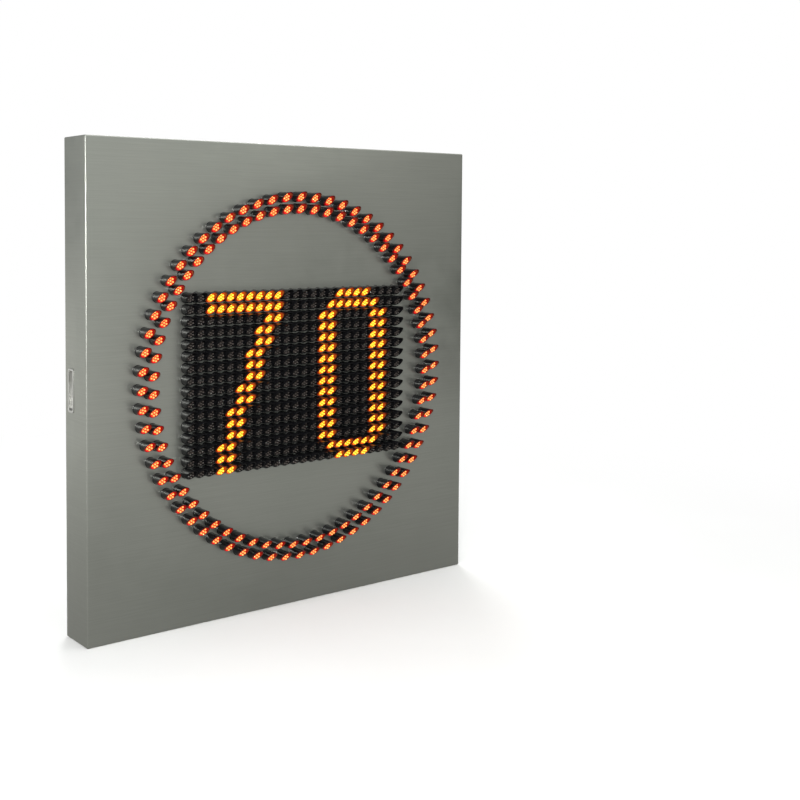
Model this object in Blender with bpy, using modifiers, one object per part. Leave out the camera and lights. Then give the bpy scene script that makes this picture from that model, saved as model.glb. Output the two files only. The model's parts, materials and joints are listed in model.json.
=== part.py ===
"""LED speed limit sign: a shallow sheet-metal cabinet whose front carries hooded LED tubes.

Units are metres, +Z is up and the face of the sign looks along -Y. The origin is the middle of
the cabinet's bottom face.
"""

import math

import bmesh
import bpy
from mathutils import Matrix, Vector

# Driving dimensions
SIDE = 1.000            # height and width of the cabinet
DEPTH = 0.090           # depth of the cabinet's side walls
SHEET = 0.002           # thickness of all the folded sheet
FOLD = 0.003            # outer radius of a fold
GAP = 0.0003            # clearance between separate pieces

PITCH = 0.024           # distance between LED tubes in the digit field
COLUMNS, ROWS = 24, 16  # tubes in the digit field
BLOCK = 8               # a field module is BLOCK by BLOCK tubes
TUBE_RADIUS = 0.0112
TUBE_LIP = 0.0135       # length of a tube at its lower lip, from the face of the panel
TUBE_HOOD = 0.037       # the same at the top of its hood
TUBE_SIDES = 6

OUTER_RING, OUTER_COUNT = 0.3890, 64   # radius and number of tubes
INNER_RING, INNER_COUNT = 0.3635, 63
SEGMENTS = 8            # boards that make up the double ring
ARC_STEPS = 6           # chords in one segment's arc
RING_EDGE = 0.0145      # board beyond the tube centres
WEB = 0.004             # panel left between two ring slots

WINDOW_WIDTH, WINDOW_HEIGHT = 0.800, 0.700   # service opening in the back
DOOR_OVERLAP = 0.020
DOOR_FOLD = 0.0085      # depth of the door's folded edge
DOOR_STANDOFF = 0.0015  # folded edge to rear frame

HINGE_HEIGHTS = (0.250, 0.750)
HINGE_LENGTH = 0.120
LOCK_HEIGHTS = (0.300, 0.700)

RAIL_LENGTH, RAIL_WIDTH, RAIL_DEPTH = 0.880, 0.041, 0.021
RAIL_LIP = 0.0095
RAIL_HEIGHTS = (0.075, 0.925)
RAIL_BOLT_X = 0.300

BAR_HEIGHTS = (0.285, 0.715)           # cross bars
PULL_Y, PULL_WIDTH, PULL_HEIGHT, PULL_DEPTH = 0.021, 0.024, 0.088, 0.014

# Levels that follow from them
MIDDLE = SIDE / 2
FACE = -DEPTH / 2                      # outer face of the front panel
BACK = DEPTH / 2                       # outer face of the rear frame
BOARD_FRONT = FACE + SHEET + GAP
BOARD_BACK = BOARD_FRONT + 0.002
BAR_FRONT, BAR_BACK = -0.0340, -0.0240
PLATE_FRONT, PLATE_BACK = BAR_BACK + GAP, BAR_BACK + GAP + SHEET
DOOR_FRONT = BACK + DOOR_STANDOFF
DOOR_BACK = DOOR_FRONT + DOOR_FOLD
DOOR_WIDTH = WINDOW_WIDTH + 2 * DOOR_OVERLAP
DOOR_HEIGHT = WINDOW_HEIGHT + 2 * DOOR_OVERLAP
HINGE_X, HINGE_Y = DOOR_WIDTH / 2 + 0.014, DOOR_BACK - 0.0027
LOCK_X = -WINDOW_WIDTH / 2 + 0.022
GLAND_X, GLAND_Z = -0.455, 0.160
BREAKER_X, BREAKER_Z = -0.217, 0.335
LEVER_TILT = 35                        # degrees above level, switched on


# Scene and helpers

def start_scene():
    for old in list(bpy.data.objects):
        bpy.data.objects.remove(old, do_unlink=True)
    sign = bpy.data.collections.new("led_speed_sign")
    cutters = bpy.data.collections.new("cutters")
    for group in (sign, cutters):
        bpy.context.scene.collection.children.link(group)
    return sign, cutters


SIGN, CUTTERS = start_scene()


def material(name, colour, roughness, metallic):
    made = bpy.data.materials.new(name)
    made.use_nodes = True
    shader = made.node_tree.nodes["Principled BSDF"]
    shader.inputs["Base Color"].default_value = (*colour, 1.0)
    shader.inputs["Roughness"].default_value = roughness
    shader.inputs["Metallic"].default_value = metallic
    return made


CABINET_SHEET = material("cabinet_sheet", (0.36, 0.37, 0.35), 0.38, 0.9)
DARK_PLASTIC = material("dark_plastic", (0.012, 0.012, 0.013), 0.25, 0.0)
GREEN_BOARD = material("green_board", (0.02, 0.12, 0.05), 0.4, 0.0)
ZINC = material("zinc", (0.55, 0.56, 0.55), 0.35, 1.0)
STAINLESS = material("stainless", (0.60, 0.60, 0.58), 0.25, 1.0)
GREY_PLASTIC = material("grey_plastic", (0.45, 0.46, 0.46), 0.5, 0.0)
RUBBER = material("rubber", (0.02, 0.02, 0.02), 0.8, 0.0)
BRASS = material("brass", (0.65, 0.48, 0.20), 0.3, 1.0)
PERFORATED = material("perforated", (0.50, 0.51, 0.52), 0.4, 1.0)
ORANGE_PLASTIC = material("orange_plastic", (0.70, 0.20, 0.03), 0.45, 0.0)


def as_piece(name, mesh, finish=None):
    """A mesh becomes a piece of the sign, or a cutter when it has no finish."""
    piece = bpy.data.objects.new(name, mesh)
    if finish:
        mesh.materials.append(finish)
        SIGN.objects.link(piece)
    else:
        CUTTERS.objects.link(piece)
        piece.hide_render = True
        piece.display_type = "WIRE"
    return piece


def mesh_from(name, shape):
    mesh = bpy.data.meshes.new(name)
    shape.to_mesh(mesh)
    shape.free()
    return mesh


def box(name, low, high, finish=None):
    low, high = Vector(low), Vector(high)
    shape = bmesh.new()
    bmesh.ops.create_cube(shape, size=1.0)
    bmesh.ops.scale(shape, vec=high - low, verts=shape.verts)
    piece = as_piece(name, mesh_from(name, shape), finish)
    piece.location = (low + high) / 2
    return piece


def turn_to(axis):
    return Vector((0, 0, 1)).rotation_difference(Vector(axis)).to_matrix().to_4x4()


def cylinder(name, centre, axis, radius, length, sides, finish=None):
    shape = bmesh.new()
    bmesh.ops.create_cone(shape, cap_ends=True, segments=sides, radius1=radius,
                          radius2=radius, depth=length)
    piece = as_piece(name, mesh_from(name, shape), finish)
    piece.matrix_world = Matrix.Translation(centre) @ turn_to(axis)
    return piece


def turned(name, base, axis, profile, sides, finish):
    """A profile of (radius, height) points, from the top down, turned about an axis."""
    shape = bmesh.new()
    points = [shape.verts.new((radius, 0, height)) for radius, height in profile]
    for start, end in zip(points, points[1:]):
        shape.edges.new((start, end))
    piece = as_piece(name, mesh_from(name, shape), finish)
    screw = piece.modifiers.new("turn", "SCREW")
    screw.steps = screw.render_steps = sides
    screw.use_merge_vertices = True
    screw.merge_threshold = 0.00001
    piece.matrix_world = Matrix.Translation(base) @ turn_to(axis)
    return piece


def flat_outline(name, points, thickness, finish=None, holes=()):
    """A flat outline with thickness, lying in its own XY plane."""
    curve = bpy.data.curves.new(name, "CURVE")
    curve.dimensions = "2D"
    curve.fill_mode = "BOTH"
    curve.extrude = thickness / 2
    for loop in (points, *holes):
        spline = curve.splines.new("POLY")
        spline.points.add(len(loop) - 1)
        for point, (across, up) in zip(spline.points, loop):
            point.co = (across, up, 0, 1)
        spline.use_cyclic_u = True
    return solid_from_curve(name, curve, finish)


def solid_from_curve(name, curve, finish):
    holder = bpy.data.objects.new(name + "_curve", curve)
    CUTTERS.objects.link(holder)
    bpy.context.view_layer.update()
    evaluated = holder.evaluated_get(bpy.context.evaluated_depsgraph_get())
    mesh = bpy.data.meshes.new_from_object(evaluated)
    bpy.data.objects.remove(holder, do_unlink=True)
    shape = bmesh.new()
    shape.from_mesh(mesh)
    bmesh.ops.remove_doubles(shape, verts=shape.verts, dist=0.00001)
    bmesh.ops.recalc_face_normals(shape, faces=shape.faces)
    shape.to_mesh(mesh)
    shape.free()
    mesh.materials.clear()
    return as_piece(name, mesh, finish)


def upright(piece, y):
    """Stand a flat outline up in the XZ plane, with its middle plane at y."""
    piece.matrix_world = Matrix.Translation((0, y, 0)) @ Matrix.Rotation(math.radians(90), 4, "X")
    return piece


def rectangle(width, height, centre=(0, 0)):
    x, z = width / 2, height / 2
    return [(centre[0] + sx * x, centre[1] + sz * z) for sx, sz in ((-1, -1), (1, -1), (1, 1), (-1, 1))]


def clipped_square(width, centre, clip):
    """A square with its corners cut off, to clear a folded corner."""
    far, near = width / 2, width / 2 - clip
    ways = [(far, near), (near, far), (-near, far), (-far, near), (-far, -near), (-near, -far),
            (near, -far), (far, -near)]
    return [(centre[0] + across, centre[1] + up) for across, up in ways]


def bore(piece, cutters, operation="DIFFERENCE"):
    for number, cutter in enumerate(cutters):
        step = piece.modifiers.new(f"step_{number}", "BOOLEAN")
        step.operation = operation
        step.object = cutter
    return piece


def fuse(piece, additions):
    return bore(piece, additions, "UNION")


def tray(name, low, high, missing, finish):
    """A folded sheet tray: a box without the face whose outward normal is `missing`."""
    low, high = Vector(low), Vector(high)
    shape = bmesh.new()
    bmesh.ops.create_cube(shape, size=1.0)
    bmesh.ops.scale(shape, vec=high - low, verts=shape.verts)
    gone = [face for face in shape.faces if face.normal.dot(Vector(missing)) > 0.9]
    bmesh.ops.delete(shape, geom=gone, context="FACES")
    folds = [edge for edge in shape.edges if len(edge.link_faces) == 2]
    bmesh.ops.bevel(shape, geom=folds, offset=FOLD, segments=2, profile=0.5, affect="EDGES")
    piece = as_piece(name, mesh_from(name, shape), finish)
    piece.location = (low + high) / 2
    wall = piece.modifiers.new("wall", "SOLIDIFY")
    wall.thickness = SHEET
    wall.offset = -1
    wall.use_even_offset = True
    return piece


# Tube places

def ring_place(radius, count, number):
    angle = math.radians(90 + number * 360 / count)
    return radius * math.cos(angle), MIDDLE + radius * math.sin(angle)


def inner_first(segment):
    """Number of a segment's first inner tube. The fourth segment has one inner tube less."""
    return 1 + segment * BLOCK - (1 if segment > 3 else 0)


def seam_angle(segment, radius):
    """Angle at which a segment starts, on a straight seam between the tubes of both rings."""
    outer = 90 + (0.5 + segment * BLOCK) * 360 / OUTER_COUNT
    inner = 90 + (inner_first(segment) - 0.5) * 360 / INNER_COUNT
    return inner + (outer - inner) * (radius - INNER_RING) / (OUTER_RING - INNER_RING)


def arc(radius, first, last):
    angles = [math.radians(first + (last - first) * step / ARC_STEPS) for step in range(ARC_STEPS + 1)]
    return [(radius * math.cos(angle), MIDDLE + radius * math.sin(angle)) for angle in angles]


def segment_outline(segment, inner_radius, outer_radius, end_gap):
    trims = [math.degrees(end_gap / 2 / radius) for radius in (inner_radius, outer_radius)]
    inner = arc(inner_radius, seam_angle(segment, inner_radius) + trims[0],
                seam_angle(segment + 1, inner_radius) - trims[0])
    outer = arc(outer_radius, seam_angle(segment, outer_radius) + trims[1],
                seam_angle(segment + 1, outer_radius) - trims[1])
    return inner + outer[::-1]


# LED modules

def tube_group(name, places):
    """Solid hooded tubes, cut off aslant so that the top is longer than the bottom."""
    group = bmesh.new()
    root = (BOARD_FRONT + BOARD_BACK) / 2
    for x, z in places:
        made = bmesh.ops.create_cone(group, cap_ends=True, segments=TUBE_SIDES,
                                     radius1=TUBE_RADIUS, radius2=TUBE_RADIUS, depth=1.0,
                                     matrix=Matrix.Rotation(math.radians(90), 4, "X"))
        for vertex in made["verts"]:
            rise = (vertex.co.z / TUBE_RADIUS + 1) / 2
            front = FACE - TUBE_LIP - rise * (TUBE_HOOD - TUBE_LIP)
            vertex.co.y = front if vertex.co.y < 0 else root
            vertex.co.x += x
            vertex.co.z += z
    bmesh.ops.recalc_face_normals(group, faces=group.faces)
    return as_piece(name, mesh_from(name, group))


def digit_field():
    """Boards of the digit field, each with BLOCK by BLOCK tubes."""
    half = BLOCK * PITCH / 2 - GAP
    thickness = BOARD_BACK - BOARD_FRONT
    for across in range(COLUMNS // BLOCK):
        for up in range(ROWS // BLOCK):
            name = f"field_module_{across + 1}_{up + 1}"
            x = (across * BLOCK + BLOCK / 2 - COLUMNS / 2) * PITCH
            z = MIDDLE + (up * BLOCK + BLOCK / 2 - ROWS / 2) * PITCH
            board = box(name, (x - half, BOARD_FRONT, z - half),
                        (x + half, BOARD_FRONT + thickness, z + half), DARK_PLASTIC)
            places = [(x + (column - BLOCK / 2 + 0.5) * PITCH, z + (row - BLOCK / 2 + 0.5) * PITCH)
                      for column in range(BLOCK) for row in range(BLOCK)]
            fuse(board, [tube_group(name + "_tubes", places)])


def ring_boards():
    """Arc-shaped boards, each with one eighth of both rings' tubes."""
    for segment in range(SEGMENTS):
        name = f"ring_module_{segment + 1}"
        outline = segment_outline(segment, INNER_RING - RING_EDGE, OUTER_RING + RING_EDGE, 2 * GAP)
        board = upright(flat_outline(name, outline, BOARD_BACK - BOARD_FRONT, DARK_PLASTIC),
                        (BOARD_FRONT + BOARD_BACK) / 2)
        outer = range(1 + segment * BLOCK, 1 + (segment + 1) * BLOCK)
        inner = range(inner_first(segment), inner_first(segment + 1))
        places = [ring_place(OUTER_RING, OUTER_COUNT, number) for number in outer]
        places += [ring_place(INNER_RING, INNER_COUNT, number) for number in inner]
        fuse(board, [tube_group(name + "_tubes", places)])


# Cabinet

def front_shell():
    shell = tray("front_shell", (-SIDE / 2, FACE, 0), (SIDE / 2, BACK, SIDE), (0, 1, 0), CABINET_SHEET)
    through = 4 * SHEET
    field = rectangle(COLUMNS * PITCH + 0.001, ROWS * PITCH + 0.001, (0, MIDDLE))
    cutters = [upright(flat_outline("field_window", field, through), FACE)]
    for segment in range(SEGMENTS):
        outline = segment_outline(segment, INNER_RING - TUBE_RADIUS - 0.0008,
                                  OUTER_RING + TUBE_RADIUS + 0.0018, WEB)
        cutters.append(upright(flat_outline(f"ring_slot_{segment + 1}", outline, through), FACE))
    cup = Vector((0.010, PULL_WIDTH / 2 - 0.002 + GAP, PULL_HEIGHT / 2 - 0.004 + GAP))
    for side in (-1, 1):
        centre = Vector((side * SIDE / 2, PULL_Y, MIDDLE))
        cutters.append(box(f"pull_cutout_{side}", centre - cup, centre + cup))
    bore(shell, cutters)


def rear_frame():
    """Flat frame that closes the back around the service opening."""
    width = SIDE - 2 * (SHEET + GAP)
    frame = flat_outline("rear_frame", clipped_square(width, (0, MIDDLE), FOLD), SHEET, CABINET_SHEET,
                         [rectangle(WINDOW_WIDTH, WINDOW_HEIGHT, (0, MIDDLE))])
    upright(frame, BACK - SHEET / 2)
    holes = [cylinder("gland_hole", (GLAND_X, BACK, GLAND_Z), (0, 1, 0), 0.0104, 0.02, 12)]
    for number, (x, z) in enumerate(rail_bolt_places()):
        holes.append(cylinder(f"frame_bolt_hole_{number}", (x, BACK, z), (0, 1, 0), 0.0044, 0.02, 10))
    bore(frame, holes)


def side_pull(name, side):
    """Flush pressed cup with a flat flange, let into a side wall."""
    flange, wall = 0.0012, 0.0012
    outer = side * (SIDE / 2 + GAP)
    centre = Vector((outer, PULL_Y, MIDDLE))
    plate = Vector((flange / 2, PULL_WIDTH / 2, PULL_HEIGHT / 2))
    middle = centre + Vector((side * flange / 2, 0, 0))
    pull = box(name, middle - plate, middle + plate, STAINLESS)
    cup = Vector((PULL_DEPTH / 2, PULL_WIDTH / 2 - 0.002, PULL_HEIGHT / 2 - 0.004))
    middle = centre - Vector((side * (PULL_DEPTH / 2 - flange / 2), 0, 0))
    fuse(pull, [box(name + "_cup", middle - cup, middle + cup)])
    hollow = cup - Vector((0, wall, wall))
    middle += Vector((side * 2 * wall, 0, 0))
    bore_step = pull.modifiers.new("hollow", "BOOLEAN")
    bore_step.object = box(name + "_hollow", middle - hollow, middle + hollow)


# Mounting rails

def rail_bolt_places():
    return [(side * RAIL_BOLT_X, height) for height in RAIL_HEIGHTS for side in (-1, 1)]


def rail_profile():
    half, lip, depth = RAIL_WIDTH / 2, RAIL_LIP, RAIL_DEPTH
    right = [(half, 0), (half, depth), (half - lip, depth), (half - lip, depth - SHEET),
             (half - SHEET, depth - SHEET), (half - SHEET, SHEET)]
    return right + [(-across, out) for across, out in right[::-1]]


def mounting_rails():
    level = BACK + GAP
    for name, height in zip(("mounting_rail_lower", "mounting_rail_upper"), RAIL_HEIGHTS):
        rail = flat_outline(name, rail_profile(), RAIL_LENGTH, ZINC)
        along = Matrix(((0, 0, 1), (0, 1, 0), (-1, 0, 0))).to_4x4()
        rail.matrix_world = Matrix.Translation((0, level, height)) @ along
        holes = [cylinder(f"{name}_hole_{side}", (side * RAIL_BOLT_X, level, height), (0, 1, 0), 0.0044,
                          0.02, 10) for side in (-1, 1)]
        bore(rail, holes)
    head_back, head_front = level + SHEET + GAP, level + SHEET + GAP + 0.005
    for number, (x, z) in enumerate(rail_bolt_places()):
        profile = [(0, head_front), (0.0065, head_front), (0.0065, head_back), (0.004, head_back),
                   (0.004, BACK - 0.014), (0, BACK - 0.014)]
        turned(f"rail_bolt_{number + 1}", (x, 0, z), (0, 1, 0), profile, 10, STAINLESS)


# Door, hinges and locks

def rear_door():
    half_width, half_height = DOOR_WIDTH / 2, DOOR_HEIGHT / 2
    door = tray("rear_door", (-half_width, DOOR_FRONT, MIDDLE - half_height),
                (half_width, DOOR_BACK, MIDDLE + half_height), (0, -1, 0), CABINET_SHEET)
    bore(door, [cylinder(f"lock_hole_{number}", (LOCK_X, DOOR_BACK, height), (0, 1, 0), 0.0086, 0.02, 12)
                for number, height in enumerate(LOCK_HEIGHTS)])
    inner = DOOR_BACK - SHEET
    low, high = BACK + GAP, inner - GAP
    gasket = flat_outline("door_gasket", rectangle(DOOR_WIDTH - 0.008, DOOR_HEIGHT - 0.008, (0, MIDDLE)),
                          high - low, RUBBER,
                          [rectangle(WINDOW_WIDTH + 0.004, WINDOW_HEIGHT + 0.004, (0, MIDDLE))])
    upright(gasket, (low + high) / 2)
    hat = [(-0.030, 0), (-0.030, -SHEET), (-0.0165, -SHEET), (-0.0145, -0.012), (0.0145, -0.012),
           (0.0165, -SHEET), (0.030, -SHEET), (0.030, 0), (0.0147, 0), (0.0129, -0.010),
           (-0.0129, -0.010), (-0.0147, 0)]
    stiffener = flat_outline("door_stiffener", hat, WINDOW_HEIGHT - 0.040, ZINC)
    stiffener.matrix_world = Matrix.Translation((0, inner - GAP, MIDDLE))


def hinge(number, height):
    """A pin hinge: the fixed leaf has the outer knuckles, the door leaf the middle one."""
    knuckle, pin, play = 0.0050, 0.0020, 0.0003
    third = HINGE_LENGTH / 3
    leaf = 0.0025
    axis = Vector((HINGE_X, HINGE_Y, height))
    low, high = height - HINGE_LENGTH / 2, height + HINGE_LENGTH / 2
    fixed = box(f"hinge_{number}_frame_leaf", (HINGE_X, BACK + GAP, low),
                (HINGE_X + 0.028, BACK + GAP + leaf, high), STAINLESS)
    fuse(fixed, [cylinder(f"hinge_{number}_fixed_knuckles", axis, (0, 0, 1), knuckle, HINGE_LENGTH, 12)])
    reach = knuckle + 0.001
    middle = box(f"hinge_{number}_middle_gap", axis - Vector((reach, reach, third / 2 + GAP)),
                 axis + Vector((reach, reach, third / 2 + GAP)))
    hole = cylinder(f"hinge_{number}_hole", axis, (0, 0, 1), pin + play, 2 * HINGE_LENGTH, 10)
    for cutter in (middle, hole):
        fixed.modifiers.new("cut", "BOOLEAN").object = cutter
    top = DOOR_BACK + GAP
    moving = box(f"hinge_{number}_door_leaf", (HINGE_X - 0.042, top, low),
                 (HINGE_X - knuckle - 0.0015, top + leaf, high), STAINLESS)
    tongue = box(f"hinge_{number}_tongue", (HINGE_X - 0.020, top, axis.z - third / 2),
                 (HINGE_X, top + leaf - 0.0002, axis.z + third / 2))
    barrel = cylinder(f"hinge_{number}_door_knuckle", axis, (0, 0, 1), knuckle, third, 12)
    fuse(moving, [tongue, barrel])
    moving.modifiers.new("cut", "BOOLEAN").object = hole
    cylinder(f"hinge_{number}_pin", axis, (0, 0, 1), pin, HINGE_LENGTH + 0.006, 10, STAINLESS)


def cam_lock(label, height):
    """Quarter-turn lock: housing, nut, and a plug that carries the cam."""
    outside = DOOR_BACK + GAP
    inside = DOOR_BACK - SHEET - GAP
    cam_front, cam_back = BACK - SHEET - 0.0043, BACK - SHEET - 0.0013
    base = (LOCK_X, 0, height)
    housing_end = cam_back + GAP
    profile = [(0.0053, outside + 0.003), (0.012, outside + 0.003), (0.012, outside),
               (0.0082, outside), (0.0082, housing_end), (0.0053, housing_end),
               (0.0053, outside + 0.003)]
    turned(f"{label}_lock_housing", base, (0, 1, 0), profile, 12, STAINLESS)
    nut = [(0.0085, inside), (0.012, inside), (0.012, inside - 0.004), (0.0085, inside - 0.004),
           (0.0085, inside)]
    turned(f"{label}_lock_nut", base, (0, 1, 0), nut, 12, BRASS)
    plug = [(0, outside + 0.002), (0.005, outside + 0.002), (0.005, housing_end),
            (0.0032, housing_end), (0.0032, cam_front - 0.003), (0, cam_front - 0.003)]
    turned(f"{label}_lock_plug", base, (0, 1, 0), plug, 12, STAINLESS)
    radius, reach, width = 0.008, 0.036, 0.007
    bend = [(radius * math.cos(turn), radius * math.sin(turn))
            for turn in (math.radians(angle) for angle in range(180, 361, 30))]
    cam = flat_outline(f"{label}_lock_cam", bend + [(width, reach), (-width, reach)],
                       cam_back - cam_front, ZINC)
    cam.matrix_world = (Matrix.Translation((LOCK_X, (cam_front + cam_back) / 2, height))
                        @ Matrix.Rotation(math.radians(90), 4, "X"))
    cam.modifiers.new("cut", "BOOLEAN").object = cylinder(
        f"{label}_cam_hole", (LOCK_X, cam_back, height), (0, 1, 0), 0.0036, 0.02, 12)


# Inside

def inner_frame():
    half = SIDE / 2 - SHEET - GAP
    for name, height in zip(("cross_bar_lower", "cross_bar_upper"), BAR_HEIGHTS):
        bar = box(name, (-half, BAR_FRONT, height - 0.011), (half, BAR_BACK, height + 0.011), ZINC)
        bore(bar, [box(name + "_channel", (-1, BAR_FRONT - 0.01, height - 0.009),
                       (1, BAR_BACK - SHEET, height + 0.009))])
    reach = (BAR_HEIGHTS[1] - BAR_HEIGHTS[0]) / 2 + 0.011
    for name, x in (("module_bar_left", -BLOCK * PITCH / 2), ("module_bar_right", BLOCK * PITCH / 2)):
        box(name, (x - 0.012, BOARD_BACK + GAP, MIDDLE - reach), (x + 0.012, BAR_FRONT - GAP, MIDDLE + reach),
            ZINC)
    box("equipment_plate", (-0.260, PLATE_FRONT, MIDDLE - 0.238), (0.260, PLATE_BACK, MIDDLE + 0.238), ZINC)


def power_supply():
    low = PLATE_BACK + GAP
    case = box("power_supply", (0.030, low, 0.430), (0.245, low + 0.030, 0.545), PERFORATED)
    fuse(case, [box("supply_terminals", (0.050, low + 0.004, 0.415), (0.225, low + 0.018, 0.431))])


def control_board():
    low = PLATE_BACK + GAP
    level = low + 0.010
    board = box("control_board", (-0.240, level, 0.440), (-0.080, level + 0.0016, 0.560), GREEN_BOARD)
    posts = [cylinder(f"board_post_{x}_{z}", (x, low + 0.0054, z), (0, 1, 0), 0.003, 0.0108, 6)
             for x in (-0.234, -0.086) for z in (0.446, 0.554)]
    top = level + 0.001
    chips = [box("processor", (-0.185, top, 0.485), (-0.157, top + 0.004, 0.513)),
             box("driver_chip", (-0.140, top, 0.490), (-0.118, top + 0.003, 0.508)),
             box("board_socket_row", (-0.225, top, 0.541), (-0.100, top + 0.012, 0.552)),
             box("board_power_socket", (-0.225, top, 0.446), (-0.185, top + 0.011, 0.460))]
    fuse(board, posts + chips)


def switch_row():
    """Top-hat rail with the breaker, the surge arrester and the terminals."""
    low = PLATE_BACK + GAP
    hat = [(-0.0175, 0.0075), (-0.0175, 0.0065), (-0.0130, 0.0065), (-0.0130, 0), (0.0130, 0),
           (0.0130, 0.0065), (0.0175, 0.0065), (0.0175, 0.0075), (0.0120, 0.0075), (0.0120, 0.001),
           (-0.0120, 0.001), (-0.0120, 0.0075)]
    rail = flat_outline("din_rail", hat, 0.230, ZINC)
    along = Matrix(((0, 0, 1), (0, 1, 0), (-1, 0, 0))).to_4x4()
    rail.matrix_world = Matrix.Translation((-0.130, low, BREAKER_Z)) @ along
    seat = low + 0.0075 + GAP
    breaker = box("circuit_breaker", (BREAKER_X - 0.018, seat, BREAKER_Z - 0.040),
                  (BREAKER_X + 0.018, seat + 0.036, BREAKER_Z + 0.040), GREY_PLASTIC)
    nose = seat + 0.052
    fuse(breaker, [box("breaker_nose", (BREAKER_X - 0.018, seat + 0.030, BREAKER_Z - 0.0225),
                       (BREAKER_X + 0.018, nose, BREAKER_Z + 0.0225))])
    slot = box("lever_slot", (BREAKER_X - 0.0115, nose - 0.0115, BREAKER_Z - 0.0100),
               (BREAKER_X + 0.0115, nose + 0.01, BREAKER_Z + 0.0100))
    breaker.modifiers.new("cut", "BOOLEAN").object = slot
    pivot = Vector((BREAKER_X, nose - 0.0045, BREAKER_Z))
    lever = cylinder("breaker_lever", pivot, (1, 0, 0), 0.0060, 0.022, 12, DARK_PLASTIC)
    paddle = box("lever_paddle", (-0.011, 0.002, -0.0018), (0.011, 0.0150, 0.0018))
    tilt = Matrix.Rotation(math.radians(LEVER_TILT), 4, "X")
    paddle.matrix_world = Matrix.Translation(pivot) @ tilt @ paddle.matrix_basis
    fuse(lever, [paddle])
    surge = box("surge_arrester", (-0.190, seat, BREAKER_Z - 0.040),
                (-0.154, seat + 0.036, BREAKER_Z + 0.040), ORANGE_PLASTIC)
    fuse(surge, [box("surge_nose", (-0.190, seat + 0.030, BREAKER_Z - 0.0225),
                     (-0.154, seat + 0.048, BREAKER_Z + 0.0225))])
    box("terminal_block", (-0.140, seat, BREAKER_Z - 0.0225), (-0.030, seat + 0.034, BREAKER_Z + 0.0225),
        GREY_PLASTIC)


def entry_parts():
    inside = BACK - SHEET - GAP
    outside = BACK + GAP
    profile = [(0, outside + 0.0195), (0.0075, outside + 0.0195), (0.0115, outside + 0.015),
               (0.0115, outside + 0.005), (0.0135, outside + 0.005), (0.0135, outside),
               (0.0100, outside), (0.0100, inside - 0.012), (0, inside - 0.012)]
    turned("cable_gland", (GLAND_X, 0, GLAND_Z), (0, 1, 0), profile, 12, GREY_PLASTIC)
    nut = [(0.0104, inside), (0.0145, inside), (0.0145, inside - 0.005), (0.0104, inside - 0.005),
           (0.0104, inside)]
    turned("gland_locknut", (GLAND_X, 0, GLAND_Z), (0, 1, 0), nut, 12, GREY_PLASTIC)
    floor = SHEET + GAP
    stud = [(0, floor + 0.030), (0.004, floor + 0.030), (0.004, floor + 0.0145), (0.0065, floor + 0.0145),
            (0.0065, floor + 0.008), (0.009, floor + 0.008), (0.009, floor + 0.0064),
            (0.0065, floor + 0.0064), (0.0065, floor), (0, floor)]
    turned("earth_stud", (-0.330, 0.005, 0), (0, 0, 1), stud, 10, BRASS)


def smooth_route(points, steps):
    """Points of a Catmull-Rom curve through the route's own points."""
    route = [Vector(point) for point in points]
    route = [2 * route[0] - route[1]] + route + [2 * route[-1] - route[-2]]
    line = []
    for before, start, end, after in zip(route, route[1:], route[2:], route[3:]):
        for step in range(steps):
            t = step / steps
            line.append(0.5 * ((2 * start) + (end - before) * t
                               + (2 * before - 5 * start + 4 * end - after) * t ** 2
                               + (3 * start - before - 3 * end + after) * t ** 3))
    return line + [route[-2]]


def straight_end(point, direction, length=0.012):
    """Three points in line, so that a loom leaves a piece squarely."""
    return [Vector(point) + Vector(direction) * length * share for share in (0, 0.5, 1)]


def loom(name, start, leaving, way, end, arriving, radius, finish):
    """A sheathed bundle of wires along its route."""
    curve = bpy.data.curves.new(name, "CURVE")
    curve.dimensions = "3D"
    curve.bevel_depth = radius
    curve.bevel_resolution = 2
    curve.use_fill_caps = True
    points = straight_end(start, leaving) + way + straight_end(end, arriving)[::-1]
    line = smooth_route(points, 3)
    spline = curve.splines.new("POLY")
    spline.points.add(len(line) - 1)
    for point, place in zip(spline.points, line):
        point.co = (*place, 1)
    solid_from_curve(name, curve, finish)


def looms():
    gland_end = BACK - SHEET - GAP - 0.012
    loom("supply_loom", (GLAND_X, gland_end - GAP, GLAND_Z), (0, -1, 0),
         [(-0.448, 0.006, 0.172), (-0.400, -0.003, 0.212), (-0.320, -0.004, 0.246),
          (-0.255, 0.003, 0.252), (-0.225, 0.009, 0.262)],
         (BREAKER_X, 0.010, BREAKER_Z - 0.040 - GAP), (0, 0, -1), 0.0045, DARK_PLASTIC)
    loom("power_loom", (-0.060, 0.008, BREAKER_Z + 0.0225 + GAP), (0, 0, 1),
         [(-0.050, 0.004, 0.381), (-0.020, -0.003, 0.388), (0.060, -0.006, 0.388), (0.084, -0.008, 0.394)],
         (0.090, -0.009, 0.415 - GAP), (0, 0, -1), 0.0035, DARK_PLASTIC)
    loom("signal_loom", (-0.240 - GAP, -0.0107, 0.500), (-1, 0, 0),
         [(-0.266, -0.012, 0.499), (-0.274, -0.020, 0.496), (-0.266, -0.031, 0.492)],
         (-0.236, BOARD_BACK + 0.0050, 0.488), (-1, 0, 0), 0.0030, GREY_PLASTIC)


digit_field()
ring_boards()
front_shell()
rear_frame()
side_pull("side_pull_left", -1)
side_pull("side_pull_right", 1)
mounting_rails()
rear_door()
for index, level in enumerate(HINGE_HEIGHTS, 1):
    hinge(index, level)
for label, level in zip(("lower", "upper"), LOCK_HEIGHTS):
    cam_lock(label, level)
inner_frame()
power_supply()
control_board()
switch_row()
entry_parts()
looms()
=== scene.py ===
"""Looks of the LED speed limit sign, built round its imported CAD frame.

Units are metres, +Z is up and the sign's face looks along -Y. Sizes that belong to one detail are
named inside the function that makes it.
"""

import json
import math
import random

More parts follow.
